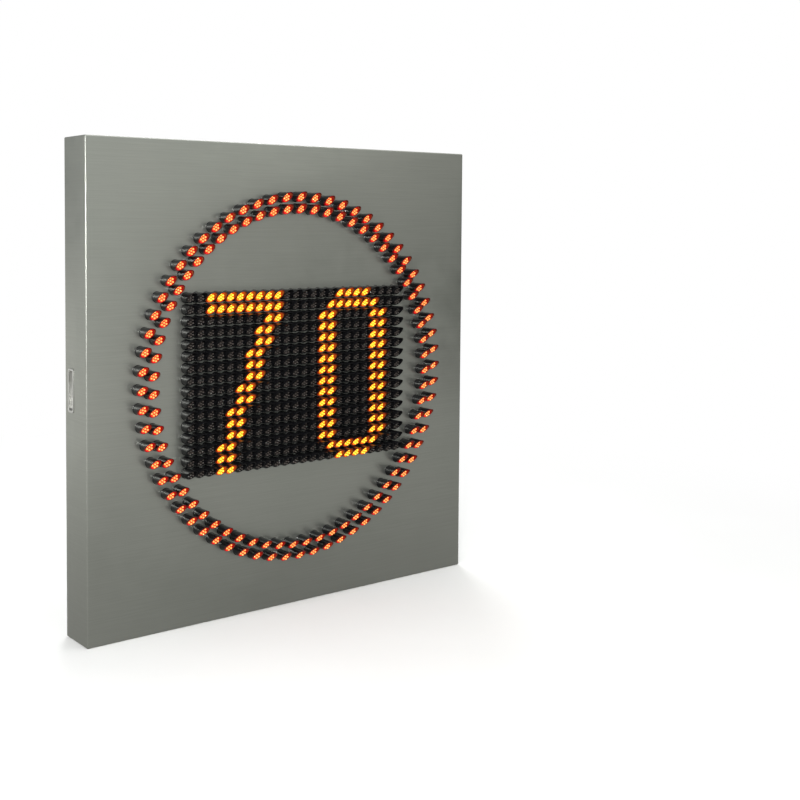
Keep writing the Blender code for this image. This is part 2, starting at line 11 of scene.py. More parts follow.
import bmesh
import bpy
from mathutils import Matrix, Vector


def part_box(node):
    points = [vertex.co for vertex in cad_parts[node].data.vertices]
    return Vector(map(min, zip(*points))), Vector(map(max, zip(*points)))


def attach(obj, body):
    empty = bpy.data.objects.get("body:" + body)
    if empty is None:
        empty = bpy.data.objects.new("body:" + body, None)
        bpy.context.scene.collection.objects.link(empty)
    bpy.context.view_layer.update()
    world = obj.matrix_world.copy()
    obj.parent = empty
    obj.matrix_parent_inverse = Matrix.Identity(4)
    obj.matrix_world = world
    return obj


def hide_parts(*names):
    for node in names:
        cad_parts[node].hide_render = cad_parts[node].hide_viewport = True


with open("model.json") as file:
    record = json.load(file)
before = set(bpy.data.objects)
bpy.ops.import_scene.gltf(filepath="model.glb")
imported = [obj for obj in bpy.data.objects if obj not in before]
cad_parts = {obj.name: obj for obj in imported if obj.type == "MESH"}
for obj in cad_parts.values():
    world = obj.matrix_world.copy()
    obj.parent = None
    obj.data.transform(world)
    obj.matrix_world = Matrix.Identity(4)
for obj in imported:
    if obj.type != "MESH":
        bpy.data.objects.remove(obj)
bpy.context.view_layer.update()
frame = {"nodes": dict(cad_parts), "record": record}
NODES = frame["nodes"]

GAP = 0.0003                           # clearance between separate pieces of the frame

# The cabinet and its levels, from the frame
CABINET_LOW, CABINET_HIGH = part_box("front_shell")
SIDE = CABINET_HIGH.z - CABINET_LOW.z
MIDDLE = (CABINET_LOW.z + CABINET_HIGH.z) / 2
FACE, BACK = CABINET_LOW.y, CABINET_HIGH.y
BOARD_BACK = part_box("field_module_1_1")[1].y
BOARD_THICKNESS = 0.002
BOARD_FRONT = BOARD_BACK - BOARD_THICKNESS
PLATE_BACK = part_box("equipment_plate")[1].y
SEAT = PLATE_BACK + GAP                # where the devices stand on the equipment plate
SHEET = 0.002
FOLD = 0.003
REAR = (0, 1, 0)                       # most small parts are turned about this axis

# Electronics
LEAD_PITCH = 0.00127                   # of a chip; a pin header has twice this
PIN_PITCH = 2 * LEAD_PITCH

# LED tubes
PITCH = 0.024
TUBE_RADIUS = 0.0112
TUBE_LIP, TUBE_HOOD = 0.0135, 0.037    # reach from the panel at the bottom and at the top
TUBE_SIDES = 26
CUP_RADIUS = 0.0098
POTTING = 0.0124                       # level of the resin that the LEDs stand in
GLOW_REACH = 0.0062                    # how far up the cup the light fades to a third
LED_RADIUS, LED_RING, LED_SIDES = 0.0021, 0.0060, 12
LED_LENGTH = 0.0094                    # resin to the top of the dome
OUTER_RING, OUTER_COUNT = 0.3890, 64
INNER_RING, INNER_COUNT = 0.3635, 63
SEGMENTS, BLOCK = 8, 8

# What the digit field shows, one character for each tube
MESSAGE = (
    "  ########      ####    ",
    "  ########     ######   ",
    "        ##    ##    ##  ",
    "       ##     ##    ##  ",
    "       ##     ##    ##  ",
    "      ##      ##    ##  ",
    "      ##      ##    ##  ",
    "      ##      ##    ##  ",
    "     ##       ##    ##  ",
    "     ##       ##    ##  ",
    "    ##        ##    ##  ",
    "    ##        ##    ##  ",
    "    ##        ##    ##  ",
    "   ##         ##    ##  ",
    "   ##          ######   ",
    "   ##           ####    ",
)
COLUMNS, ROWS = len(MESSAGE[0]), len(MESSAGE)

DICE = random.Random(11)


# Materials

def linear(red, green, blue):
    """A colour given by its screen values, 0 to 255."""
    return tuple((value / 255) ** 2.2 for value in (red, green, blue))


def new_material(name, colour, roughness, metallic=0.0):
    made = bpy.data.materials.new(name)
    made.use_nodes = True
    shader = made.node_tree.nodes["Principled BSDF"]
    shader.inputs["Base Color"].default_value = (*colour, 1)
    shader.inputs["Roughness"].default_value = roughness
    shader.inputs["Metallic"].default_value = metallic
    return made, shader


def node(made, kind, **settings):
    new = made.node_tree.nodes.new(kind)
    for key, value in settings.items():
        setattr(new, key, value)
    return new


def wire(made, start, end):
    made.node_tree.links.new(start, end)


def noise(made, scale, stretch=(1, 1, 1), detail=4.0, rough=0.55):
    """Noise in object coordinates, stretched along an axis where stretch is small."""
    place = node(made, "ShaderNodeTexCoord")
    mapping = node(made, "ShaderNodeMapping")
    mapping.inputs["Scale"].default_value = stretch
    texture = node(made, "ShaderNodeTexNoise")
    texture.inputs["Scale"].default_value = scale
    texture.inputs["Detail"].default_value = detail
    texture.inputs["Roughness"].default_value = rough
    wire(made, place.outputs["Object"], mapping.inputs["Vector"])
    wire(made, mapping.outputs["Vector"], texture.inputs["Vector"])
    return texture.outputs["Fac"]


def ramp(made, source, low, high, start=0.3, end=0.7):
    """Colours or values between low and high as source goes from start to end."""
    new = node(made, "ShaderNodeValToRGB")
    for element, place, value in zip(new.color_ramp.elements, (start, end), (low, high)):
        element.position = place
        element.color = (*value, 1) if isinstance(value, tuple) else (value, value, value, 1)
    wire(made, source, new.inputs["Fac"])
    return new.outputs["Color"]


def blend_colours(made, factor, first, second, mode="MIX"):
    mix = node(made, "ShaderNodeMix", data_type="RGBA", blend_type=mode)
    for socket, value in ((0, factor), (6, first), (7, second)):
        if hasattr(value, "links"):
            wire(made, value, mix.inputs[socket])
        else:
            mix.inputs[socket].default_value = (*value, 1) if isinstance(value, tuple) else value
    return mix.outputs[2]


def bump(made, shader, source, strength, distance):
    new = node(made, "ShaderNodeBump")
    new.inputs["Strength"].default_value = strength
    new.inputs["Distance"].default_value = distance
    wire(made, source, new.inputs["Height"])
    wire(made, new.outputs["Normal"], shader.inputs["Normal"])


def brushed(name, colour, roughness, metallic, stretch, grain=0.05):
    """Sheet metal with a hairline finish: fine lines, slow clouds of tone and faint handling marks."""
    made, shader = new_material(name, colour, roughness, metallic)
    lines = noise(made, 900, stretch, 2.0)
    clouds = noise(made, 2.6, detail=3.0)
    darker = tuple(part * (1 - grain) for part in colour)
    lighter = tuple(part * (1 + grain) for part in colour)
    tone = ramp(made, lines, darker, lighter, 0.25, 0.75)
    cloud = ramp(made, clouds, (0.93, 0.94, 0.92), (1.0, 0.99, 0.98), 0.3, 0.7)
    wire(made, blend_colours(made, 1.0, tone, cloud, "MULTIPLY"), shader.inputs["Base Color"])
    marks = noise(made, 14, detail=8.0, rough=0.7)
    wire(made, ramp(made, marks, roughness - 0.05, roughness + 0.06, 0.35, 0.65),
         shader.inputs["Roughness"])
    bump(made, shader, lines, 0.05, 0.0002)
    return made


def zinc(name, colour, roughness):
    """Zinc plating: large soft crystals in slightly different greys."""
    made, shader = new_material(name, colour, roughness, 1.0)
    place = node(made, "ShaderNodeTexCoord")
    cells = node(made, "ShaderNodeTexVoronoi")
    cells.inputs["Scale"].default_value = 130
    wire(made, place.outputs["Object"], cells.inputs["Vector"])
    dark = tuple(part * 0.80 for part in colour)
    light = tuple(min(1, part * 1.1) for part in colour)
    crystal = ramp(made, cells.outputs["Color"], dark, light, 0.1, 0.9)
    wire(made, crystal, shader.inputs["Base Color"])
    wire(made, ramp(made, noise(made, 60), roughness - 0.06, roughness + 0.1),
         shader.inputs["Roughness"])
    bump(made, shader, noise(made, 500), 0.06, 0.0002)
    return made


def machined(name, colour, roughness):
    """Turned or pressed bright metal with fine scratches."""
    made, shader = new_material(name, colour, roughness, 1.0)
    scratches = noise(made, 700, (1, 1, 0.08), 3.0)
    wire(made, ramp(made, scratches, tuple(part * 0.88 for part in colour), colour),
         shader.inputs["Base Color"])
    wire(made, ramp(made, noise(made, 90), roughness - 0.05, roughness + 0.08),
         shader.inputs["Roughness"])
    bump(made, shader, scratches, 0.05, 0.0001)
    return made


def moulded(name, colour, roughness, grain=0.15, scale=900):
    """Moulded plastic with a fine spark-eroded grain and a little dust."""
    made, shader = new_material(name, colour, roughness)
    cloud = noise(made, 30, detail=3.0)
    faded = tuple(part * 0.88 + 0.004 for part in colour)
    wire(made, ramp(made, cloud, faded, colour), shader.inputs["Base Color"])
    wire(made, ramp(made, noise(made, 160), roughness - 0.05, roughness + 0.07),
         shader.inputs["Roughness"])
    bump(made, shader, noise(made, scale, detail=2.0), grain, 0.0001)
    return made


def glowing(name, colour, roughness, strength, spec=0.5):
    """Plastic or resin that also gives off the light painted on its points as the colour "glow"."""
    made, shader = new_material(name, colour, roughness)
    light = node(made, "ShaderNodeAttribute", attribute_name="glow")
    shader.inputs["Emission Strength"].default_value = strength
    shader.inputs["Specular IOR Level"].default_value = spec
    wire(made, light.outputs["Color"], shader.inputs["Emission Color"])
    dust = noise(made, 420, detail=3.0)
    dusty = tuple(part * 1.5 + 0.004 for part in colour)
    wire(made, ramp(made, dust, colour, dusty, 0.45, 0.75), shader.inputs["Base Color"])
    wire(made, ramp(made, noise(made, 260), roughness - 0.04, roughness + 0.07),
         shader.inputs["Roughness"])
    bump(made, shader, noise(made, 1500, detail=2.0), 0.08, 0.0001)
    return made


def circuit_board(name, colour, stripe):
    """Solder mask over copper tracks, which show as slightly lighter lines."""
    made, shader = new_material(name, colour, 0.3)
    place = node(made, "ShaderNodeTexCoord")
    tracks = node(made, "ShaderNodeTexBrick")
    tracks.inputs["Scale"].default_value = 34
    tracks.inputs["Mortar Size"].default_value = 0.03
    tracks.inputs["Color1"].default_value = (*colour, 1)
    tracks.inputs["Color2"].default_value = (*(part * 0.9 for part in colour), 1)
    tracks.inputs["Mortar"].default_value = (*stripe, 1)
    turn = node(made, "ShaderNodeMapping")
    turn.inputs["Rotation"].default_value = (math.radians(90), 0, 0)
    wire(made, place.outputs["Object"], turn.inputs["Vector"])
    wire(made, turn.outputs["Vector"], tracks.inputs["Vector"])
    cloud = ramp(made, noise(made, 60), (0.85, 0.85, 0.85), (1.0, 1.0, 1.0))
    wire(made, blend_colours(made, 1.0, tracks.outputs["Color"], cloud, "MULTIPLY"),
         shader.inputs["Base Color"])
    bump(made, shader, tracks.outputs["Fac"], 0.2, 0.0001)
    return made


def foam(name, colour):
    made, shader = new_material(name, colour, 0.85)
    cells = noise(made, 800, detail=6.0, rough=0.7)
    wire(made, ramp(made, cells, tuple(part * 0.6 for part in colour), colour),
         shader.inputs["Base Color"])
    bump(made, shader, cells, 0.5, 0.0004)
    return made


SHEET_GREY = linear(150, 152, 147)
MATERIALS = {
    "cabinet_sheet": brushed("cabinet_sheet", SHEET_GREY, 0.33, 0.88, (0.012, 0.012, 1.0)),
    "tube_plastic": glowing("tube_plastic", (0.006, 0.006, 0.007), 0.16, 1.0, 0.35),
    "red_led": glowing("red_led", (0.30, 0.02, 0.015), 0.12, 1.0),
    "amber_led": glowing("amber_led", (0.35, 0.16, 0.02), 0.12, 1.0),
    "unlit_led": glowing("unlit_led", (0.055, 0.045, 0.040), 0.07, 0.0, 0.9),
    "green_board": circuit_board("green_board", (0.012, 0.085, 0.035), (0.035, 0.16, 0.06)),
    "zinc_steel": zinc("zinc_steel", (0.56, 0.57, 0.57), 0.34),
    "perforated_steel": brushed("perforated_steel", (0.50, 0.51, 0.52), 0.34, 1.0, (0.02, 1.0, 1.0)),
    "stainless": machined("stainless", (0.60, 0.60, 0.58), 0.34),
    "grey_plastic": moulded("grey_plastic", linear(176, 179, 178), 0.45),
    "orange_plastic": moulded("orange_plastic", linear(214, 96, 28), 0.42),
    "black_plastic": moulded("black_plastic", (0.016, 0.016, 0.017), 0.42),
    "gasket_rubber": foam("gasket_rubber", (0.022, 0.022, 0.022)),
    "brass": machined("brass", (0.68, 0.50, 0.22), 0.28),
}


# Building pieces

class Shape:
    """Solids gathered into one mesh."""

    def __init__(self):
        self.mesh = bmesh.new()

    def box(self, low, high, bevel=0.0, turn=None):
        """A box between two corners, with rounded edges, turned about its middle."""
        low, high = Vector(low), Vector(high)
        made = bmesh.ops.create_cube(self.mesh, size=1.0)["verts"]
        bmesh.ops.scale(self.mesh, vec=high - low, verts=made)
        if turn:
            bmesh.ops.rotate(self.mesh, matrix=turn, verts=made)
        bmesh.ops.translate(self.mesh, vec=(low + high) / 2, verts=made)
        if bevel:
            edges = list({edge for vertex in made for edge in vertex.link_edges})
            bmesh.ops.bevel(self.mesh, geom=edges, offset=bevel, segments=2, profile=0.5, affect="EDGES")
        return self

    def turned(self, base, axis, profile, sides=24, start=0.0, closed=False):
        """A profile of (radius, distance along the axis), turned. Radius 0 closes an end."""
        turn = Vector((0, 0, 1)).rotation_difference(Vector(axis)).to_matrix().to_4x4()
        place = Matrix.Translation(base) @ turn
        rings = []
        for radius, height in profile:
            count = 1 if radius == 0 else sides
            angles = [start + 2 * math.pi * step / sides for step in range(count)]
            rings.append([self.mesh.verts.new(place @ Vector((radius * math.cos(angle),
                                                              radius * math.sin(angle), height)))
                          for angle in angles])
        self.join(rings, closed)
        return self

    def prism(self, outline, low, high):
        """An outline of (y, z) points, drawn out along X."""
        ends = [[self.mesh.verts.new((across, y, z)) for y, z in outline] for across in (low, high)]
        self.join(ends)
        for end in ends:
            self.mesh.faces.new(end)
        return self

    def join(self, rings, closed=False):
        """Faces between rings of points; a ring of one point closes an end as a fan."""
        pairs = list(zip(rings, rings[1:]))
        if closed:
            pairs.append((rings[-1], rings[0]))
        for first, second in pairs:
            count = max(len(first), len(second))
            for step in range(count):
                after = (step + 1) % count
                corners = [first[step % len(first)], first[after % len(first)],
                           second[after % len(second)], second[step % len(second)]]
                unique = list(dict.fromkeys(corners))
                self.mesh.faces.new(unique)

    def sweep(self, line, radius, sides=10):
        """A round bar along a line of points, with closed ends."""
        line = [Vector(point) for point in line]
        rings = []
        side = None
        for index, point in enumerate(line):
            ahead = (line[min(index + 1, len(line) - 1)] - line[max(index - 1, 0)]).normalized()
            side = (ahead.orthogonal() if side is None else side - ahead * side.dot(ahead)).normalized()
            up = ahead.cross(side)
            rings.append([])
            for step in range(sides):
                angle = 2 * math.pi * step / sides
                spot = point + radius * (side * math.cos(angle) + up * math.sin(angle))
                rings[-1].append(self.mesh.verts.new(spot))
        self.join(rings)
        self.mesh.faces.new(rings[0][::-1])
        self.mesh.faces.new(rings[-1])
        return self

    def finish(self, name):
        bmesh.ops.recalc_face_normals(self.mesh, faces=self.mesh.faces)
        made = bpy.data.meshes.new(name)
        self.mesh.to_mesh(made)
        self.mesh.free()
        return made


def placed(name, data):
    made = bpy.data.objects.new(name, data)
    bpy.context.scene.collection.objects.link(made)
    return made


def as_mesh(holder):
    """The mesh of an object as it is with its modifiers."""
    bpy.context.view_layer.update()
    return bpy.data.meshes.new_from_object(holder.evaluated_get(bpy.context.evaluated_depsgraph_get()))


def piece(name, shape, slot, body="cabinet", stands_for=(), angle=32):
    """A shape or mesh becomes a piece that rides on a body, in the finish of a record slot."""
    mesh = shape.finish(name) if isinstance(shape, Shape) else shape
    mesh.polygons.foreach_set("use_smooth", [True] * len(mesh.polygons))
    mesh.set_sharp_from_angle(angle=math.radians(angle))
    mesh.materials.append(MATERIALS[slot])
    made = placed(name, mesh)
    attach(made, body)
    if stands_for:
        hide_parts(*stands_for)
    return made


def flat_plate(name, outline, holes, low, high):
    """A sheet in the XZ plane between two levels of Y, with holes cut across its thickness."""
    curve = bpy.data.curves.new(name, "CURVE")
    curve.dimensions = "2D"
    curve.fill_mode = "BOTH"
    curve.extrude = (high - low) / 2
    for loop in (outline, *holes):
        spline = curve.splines.new("POLY")
        spline.points.add(len(loop) - 1)
        for point, (across, up) in zip(spline.points, loop):
            point.co = (across, up, 0, 1)
        spline.use_cyclic_u = True
    holder = placed(name + "_curve", curve)
    made = as_mesh(holder)
    bpy.data.objects.remove(holder, do_unlink=True)
    made.transform(Matrix.Translation((0, (low + high) / 2, 0)) @ Matrix.Rotation(math.radians(90), 4,
                                                                                  "X"))
    tidy = bmesh.new()
    tidy.from_mesh(made)
    bmesh.ops.remove_doubles(tidy, verts=tidy.verts, dist=0.00001)
    bmesh.ops.recalc_face_normals(tidy, faces=tidy.faces)
    tidy.to_mesh(made)
    tidy.free()
    made.materials.clear()
    return made


def circle(centre, radius, sides=16):
    return [(centre[0] + radius * math.cos(2 * math.pi * step / sides),
             centre[1] + radius * math.sin(2 * math.pi * step / sides)) for step in range(sides)]


def rounded_rectangle(width, height, centre, radius, steps=5):
    points = []
    for corner, (side, up) in enumerate(((1, 1), (-1, 1), (-1, -1), (1, -1))):
        middle = (centre[0] + side * (width / 2 - radius), centre[1] + up * (height / 2 - radius))
        for step in range(steps + 1):
            angle = math.radians(90 * (corner + step / steps))
            points.append((middle[0] + radius * math.cos(angle), middle[1] + radius * math.sin(angle)))
    return points


# Where the tubes are

def ring_place(radius, count, number):
    angle = math.radians(90 + number * 360 / count)
    return radius * math.cos(angle), MIDDLE + radius * math.sin(angle)


def inner_first(segment):
    """Number of a segment's first inner tube. The fourth segment has one inner tube less."""
    return 1 + segment * BLOCK - (1 if segment > 3 else 0)


def segment_places(segment):
    outer = [ring_place(OUTER_RING, OUTER_COUNT, 1 + segment * BLOCK + step) for step in range(BLOCK)]
    inner = [ring_place(INNER_RING, INNER_COUNT, number)
             for number in range(inner_first(segment), inner_first(segment + 1))]
    return outer + inner


def field_place(column, row):
    """Place of a digit tube, counted from the top left."""
    return (column - COLUMNS / 2 + 0.5) * PITCH, MIDDLE + (ROWS / 2 - 0.5 - row) * PITCH


def is_lit(column, row):
    return MESSAGE[row][column] == "#"


# LED tubes

RED_GLOW = (1.0, 0.010, 0.006)
AMBER_GLOW = (1.0, 0.16, 0.004)
RED_CORE = (1.0, 0.42, 0.10)
AMBER_CORE = (1.0, 0.62, 0.045)
BLACK = (0.0, 0.0, 0.0)


def add_tube(shape, glow_layer, x, z, glow):
    """One hooded tube: collar, barrel, rim, cup and the resin floor, with the lit LEDs' light painted on
    the cup, the floor and the rim as glow.
    """
    steps = [
        # radius, reach at the bottom, reach at the top, painted glow on the rim and lip that stands in
        # for the LEDs' light spilling over the rim
        (TUBE_RADIUS + 0.0006, 0.0, 0.0, 0),
        (TUBE_RADIUS + 0.0006, 0.0012, 0.0012, 0),
        (TUBE_RADIUS, 0.0017, 0.0017, 0),
        (TUBE_RADIUS, TUBE_LIP - 0.0058, TUBE_HOOD - 0.0058, 0),
        (TUBE_RADIUS, TUBE_LIP - 0.0008, TUBE_HOOD - 0.0008, 0.30),
        (TUBE_RADIUS - 0.0002, TUBE_LIP - 0.0002, TUBE_HOOD - 0.0002, 0.34),
        (TUBE_RADIUS - 0.0006, TUBE_LIP, TUBE_HOOD, 0.30),
        (CUP_RADIUS + 0.0002, TUBE_LIP - 0.0002, TUBE_HOOD - 0.0003, 0.20),
    ]
    for share in (0.9, 0.6, 0.36, 0.18, 0.06, 0.0):
        low, high = (POTTING + share * (reach - POTTING) for reach in (TUBE_LIP, TUBE_HOOD))
        steps.append((CUP_RADIUS, low, high, 0))
    floor = POTTING - 0.0003           # just under the LEDs' feet
    steps += [(LED_RING, floor, floor, 0), (0, floor, floor, 0)]
    rings = []
    for radius, bottom, top, painted_rim_glow in steps:
        ring = []
        for step in range(TUBE_SIDES if radius else 1):
            angle = 2 * math.pi * step / TUBE_SIDES
            across, up = radius * math.cos(angle), radius * math.sin(angle)
            rise = (up / TUBE_RADIUS + 1) / 2
            out = bottom + rise * (top - bottom)
            vertex = shape.mesh.verts.new((x + across, FACE - out, z + up))
            # Painted light: the cup wall and the resin floor glow with the LEDs' light, fading up the
            # cup.
            fading = math.exp(-(out - POTTING) / GLOW_REACH)
            # Painted light: the rim and lip outside the cup glow with a share of the LEDs' light, a
            # painted spill over the rim.
            share = fading if radius <= CUP_RADIUS else painted_rim_glow * (0.15 + 0.85 * min(1, 1.6 * fading))
            vertex[glow_layer] = (share * glow[0], share ** 1.5 * glow[1], share ** 1.5 * glow[2], 1)
            ring.append(vertex)
        rings.append(ring)
    shape.join(rings)


def add_leds(shape, glow_layer, x, z, glow, core):
    """The cluster in one tube: a domed LED in the middle and six round it."""
    spin = DICE.uniform(-0.25, 0.25)
    strength = DICE.uniform(0.9, 1.1)
    places = [(x, z)]
    for step in range(6):
        angle = spin + math.radians(60 * step + 30)
        places.append((x + LED_RING * math.cos(angle), z + LED_RING * math.sin(angle)))
    neck = LED_LENGTH - LED_RADIUS
    profile = [(LED_RADIUS * 1.12, 0, 0.0), (LED_RADIUS * 1.12, 0.0009, 0.0), (LED_RADIUS, 0.0010, 0.0),
               (LED_RADIUS, 0.6 * neck, 0.15), (LED_RADIUS, neck, 0.55)]
    profile += [(LED_RADIUS * math.cos(turn), neck + LED_RADIUS * math.sin(turn), heat)
                for turn, heat in ((math.radians(30), 0.85), (math.radians(60), 1.0))]
    profile.append((0, LED_LENGTH, 1.0))
    for centre_x, centre_z in places:
        rings = []
        for radius, out, heat in profile:
            ring = []
            for step in range(LED_SIDES if radius else 1):
                angle = 2 * math.pi * step / LED_SIDES
                vertex = shape.mesh.verts.new((centre_x + radius * math.cos(angle), FACE - POTTING - out,
                                               centre_z + radius * math.sin(angle)))
                vertex[glow_layer] = (*(strength * (dim + (bright - dim) * heat ** 2)
                                        for dim, bright in zip(glow, core)), 1)
                ring.append(vertex)
            rings.append(ring)
        shape.join(rings)


def glow_shape():
    shape = Shape()
    return shape, shape.mesh.verts.layers.float_color.new("glow")


def scaled(colour, factor):
    return tuple(part * factor for part in colour)


def digit_field():
    """Tubes of each module, the lit LEDs of each digit and the dark LEDs of each module."""
    digits = [glow_shape(), glow_shape()]
    for across in range(COLUMNS // BLOCK):
        for up in range(ROWS // BLOCK):
            tubes, tube_glow = glow_shape()
            dark, dark_glow = glow_shape()
            for column in range(across * BLOCK, (across + 1) * BLOCK):
                for row in range((1 - up) * BLOCK, (2 - up) * BLOCK):
                    x, z = field_place(column, row)
                    lit = is_lit(column, row)
                    # A lit tube gets the amber light painted on its cup, resin floor and rim as glow.
                    add_tube(tubes, tube_glow, x, z, scaled(AMBER_GLOW, 1.3) if lit else BLACK)
                    if lit:
                        leds, led_glow = digits[column >= COLUMNS // 2]
                        add_leds(leds, led_glow, x, z, scaled(AMBER_GLOW, 1.5), scaled(AMBER_CORE, 2.2))
                    else:
                        add_leds(dark, dark_glow, x, z, BLACK, BLACK)
            label = f"{across + 1}_{up + 1}"
            piece(f"field_tubes_{label}", tubes, "tube_plastic",
                  stands_for=[f"field_module_{label}"])
            piece(f"dark_leds_{label}", dark, "unlit_led", angle=60)
    for name, (leds, _) in zip(("digit_leds_left", "digit_leds_right"), digits):
        piece(name, leds, "amber_led", angle=60)


def double_ring():
    for segment in range(SEGMENTS):
        tubes, tube_glow = glow_shape()
        leds, led_glow = glow_shape()
        for x, z in segment_places(segment):
            # Every ring tube gets the red light painted on its cup, resin floor and rim as glow.
            add_tube(tubes, tube_glow, x, z, RED_GLOW)
            add_leds(leds, led_glow, x, z, scaled(RED_GLOW, 0.8), scaled(RED_CORE, 1.9))
        piece(f"ring_tubes_{segment + 1}", tubes, "tube_plastic",
              stands_for=[f"ring_module_{segment + 1}"])
        piece(f"ring_leds_{segment + 1}", leds, "red_led", angle=60)


# Cabinet

def cabinet_shell():
    """One folded tray with a hole for each tube, the pull cut-outs and drain holes."""
    shape = bmesh.new()
    bmesh.ops.create_cube(shape, size=1.0)
    bmesh.ops.scale(shape, vec=CABINET_HIGH - CABINET_LOW, verts=shape.verts)
    bmesh.ops.translate(shape, vec=(CABINET_LOW + CABINET_HIGH) / 2, verts=shape.verts)
    back = [face for face in shape.faces if face.normal.y > 0.9]
    bmesh.ops.delete(shape, geom=back, context="FACES")
    folds = [edge for edge in shape.edges if len(edge.link_faces) == 2]
    bmesh.ops.bevel(shape, geom=folds, offset=FOLD, segments=5, profile=0.5, affect="EDGES")
    mesh = bpy.data.meshes.new("cabinet_shell")
    shape.to_mesh(mesh)
    shape.free()
    holes = Shape()
    places = [field_place(column, row) for column in range(COLUMNS) for row in range(ROWS)]
    places += [place for segment in range(SEGMENTS) for place in segment_places(segment)]
    for x, z in places:
        holes.turned((x, FACE - 0.01, z), REAR, [(0, 0), (TUBE_RADIUS - 0.0002, 0),
                                                 (TUBE_RADIUS - 0.0002, 0.02), (0, 0.02)])
    for x in (-0.42, 0.42):
        holes.turned((x, 0.0, -0.01), (0, 0, 1), [(0, 0), (0.004, 0), (0.004, 0.02), (0, 0.02)])
    for name in ("side_pull_left", "side_pull_right"):
        low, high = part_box(name)
        inset = Vector((0.004, 0.0017, 0.0037))
        holes.box(low - Vector((inset.x, 0, 0)) + Vector((0, inset.y, inset.z)),
                  high + Vector((inset.x, 0, 0)) - Vector((0, inset.y, inset.z)))
    cutter = placed("holes", holes.finish("holes"))
    shell = placed("holder", mesh)
    wall = shell.modifiers.new("wall", "SOLIDIFY")
    wall.thickness = SHEET
    wall.offset = -1
    wall.use_even_offset = True
    cut = shell.modifiers.new("cut", "BOOLEAN")
    cut.object = cutter
    made = as_mesh(shell)
    for spare in (shell, cutter):
        bpy.data.objects.remove(spare, do_unlink=True)
    made.materials.clear()
    piece("cabinet_shell", made, "cabinet_sheet", stands_for=["front_shell"])


# Fixings

def pan_screw(shape, base, axis, radius):
    """A pan-head screw with a round driver recess."""
    shape.turned(base, axis, [(radius, 0), (radius, 0.35 * radius), (0.82 * radius, 0.72 * radius),
                              (0.44 * radius, 0.80 * radius), (0.38 * radius, 0.36 * radius),
                              (0, 0.36 * radius)], 12)


def threaded(start, end, radius, pitch=0.001):
    """Profile of a thread from one level to another."""
    turns = max(1, round(abs(end - start) / pitch))
    step = (end - start) / turns
    profile = []
    for turn in range(turns):
        profile += [(radius, start + turn * step), (radius * 0.92, start + (turn + 0.5) * step)]
    return profile + [(radius, end)]


def centre_of(name):
    low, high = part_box(name)
    return (low + high) / 2, low, high


# LED boards, seen from behind

def chord_points(radius, first, last, steps=20):
    return [(radius * math.cos(angle), MIDDLE + radius * math.sin(angle))
            for angle in (first + (last - first) * step / steps for step in range(steps + 1))]


def seam_angle(segment, radius):
    """Angle at which a ring board starts, on a straight seam between the tubes of both rings."""
    outer = 90 + (0.5 + segment * BLOCK) * 360 / OUTER_COUNT
    inner = 90 + (inner_first(segment) - 0.5) * 360 / INNER_COUNT
    return math.radians(inner + (outer - inner) * (radius - INNER_RING) / (OUTER_RING - INNER_RING))


def ring_outline(segment):
    edge = 0.0145
    loops = []
    for radius in (INNER_RING - edge, OUTER_RING + edge):
        loops.append(chord_points(radius, seam_angle(segment, radius) + GAP / radius,
                                  seam_angle(segment + 1, radius) - GAP / radius))
    return loops[0] + loops[1][::-1]


def solder_joints(shape, places):
    """Two soldered leads behind each LED."""
    for x, z in places:
        spots = [(0, 0)] + [(LED_RING * math.cos(math.radians(60 * step + 30)),
                             LED_RING * math.sin(math.radians(60 * step + 30))) for step in range(6)]
        for across, up in spots:
            for side in (-LEAD_PITCH, LEAD_PITCH):
                shape.turned((x + across + side, BOARD_BACK, z + up), REAR,
                             [(0.0008, 0), (0.0004, 0.0005), (0.00028, 0.0011), (0, 0.0012)], 6)


def small_outline_chip(bodies, leads, x, z, turn=0.0):
    """A 16-lead chip and its leads, turned in the plane of the board."""
    spin = Matrix.Rotation(turn, 3, "Y")

    def place(shape, low, high, bevel=0.0):
        middle = spin @ ((Vector(low) + Vector(high)) / 2)
        half = (Vector(high) - Vector(low)) / 2
        centre = Vector((x, BOARD_BACK, z)) + middle
        shape.box(centre - half, centre + half, bevel, spin)

    place(bodies, (-0.005, 0.0002, -0.002), (0.005, 0.0018, 0.002), 0.0002)
    for step in range(8):
        across = (step - 3.5) * LEAD_PITCH
        for side in (-1, 1):
            near, far = sorted((side * 0.0019, side * 0.0031))
            place(leads, (across - 0.0002, 0.0, near), (across + 0.0002, 0.0006, far))


def resistor(bodies, x, z, turn=0.0):
    half = Vector((0.0016, 0.0003, 0.0008))
    centre = Vector((x, BOARD_BACK + 0.0003, z))
    bodies.box(centre - half, centre + half, 0.00015, Matrix.Rotation(turn, 3, "Y"))


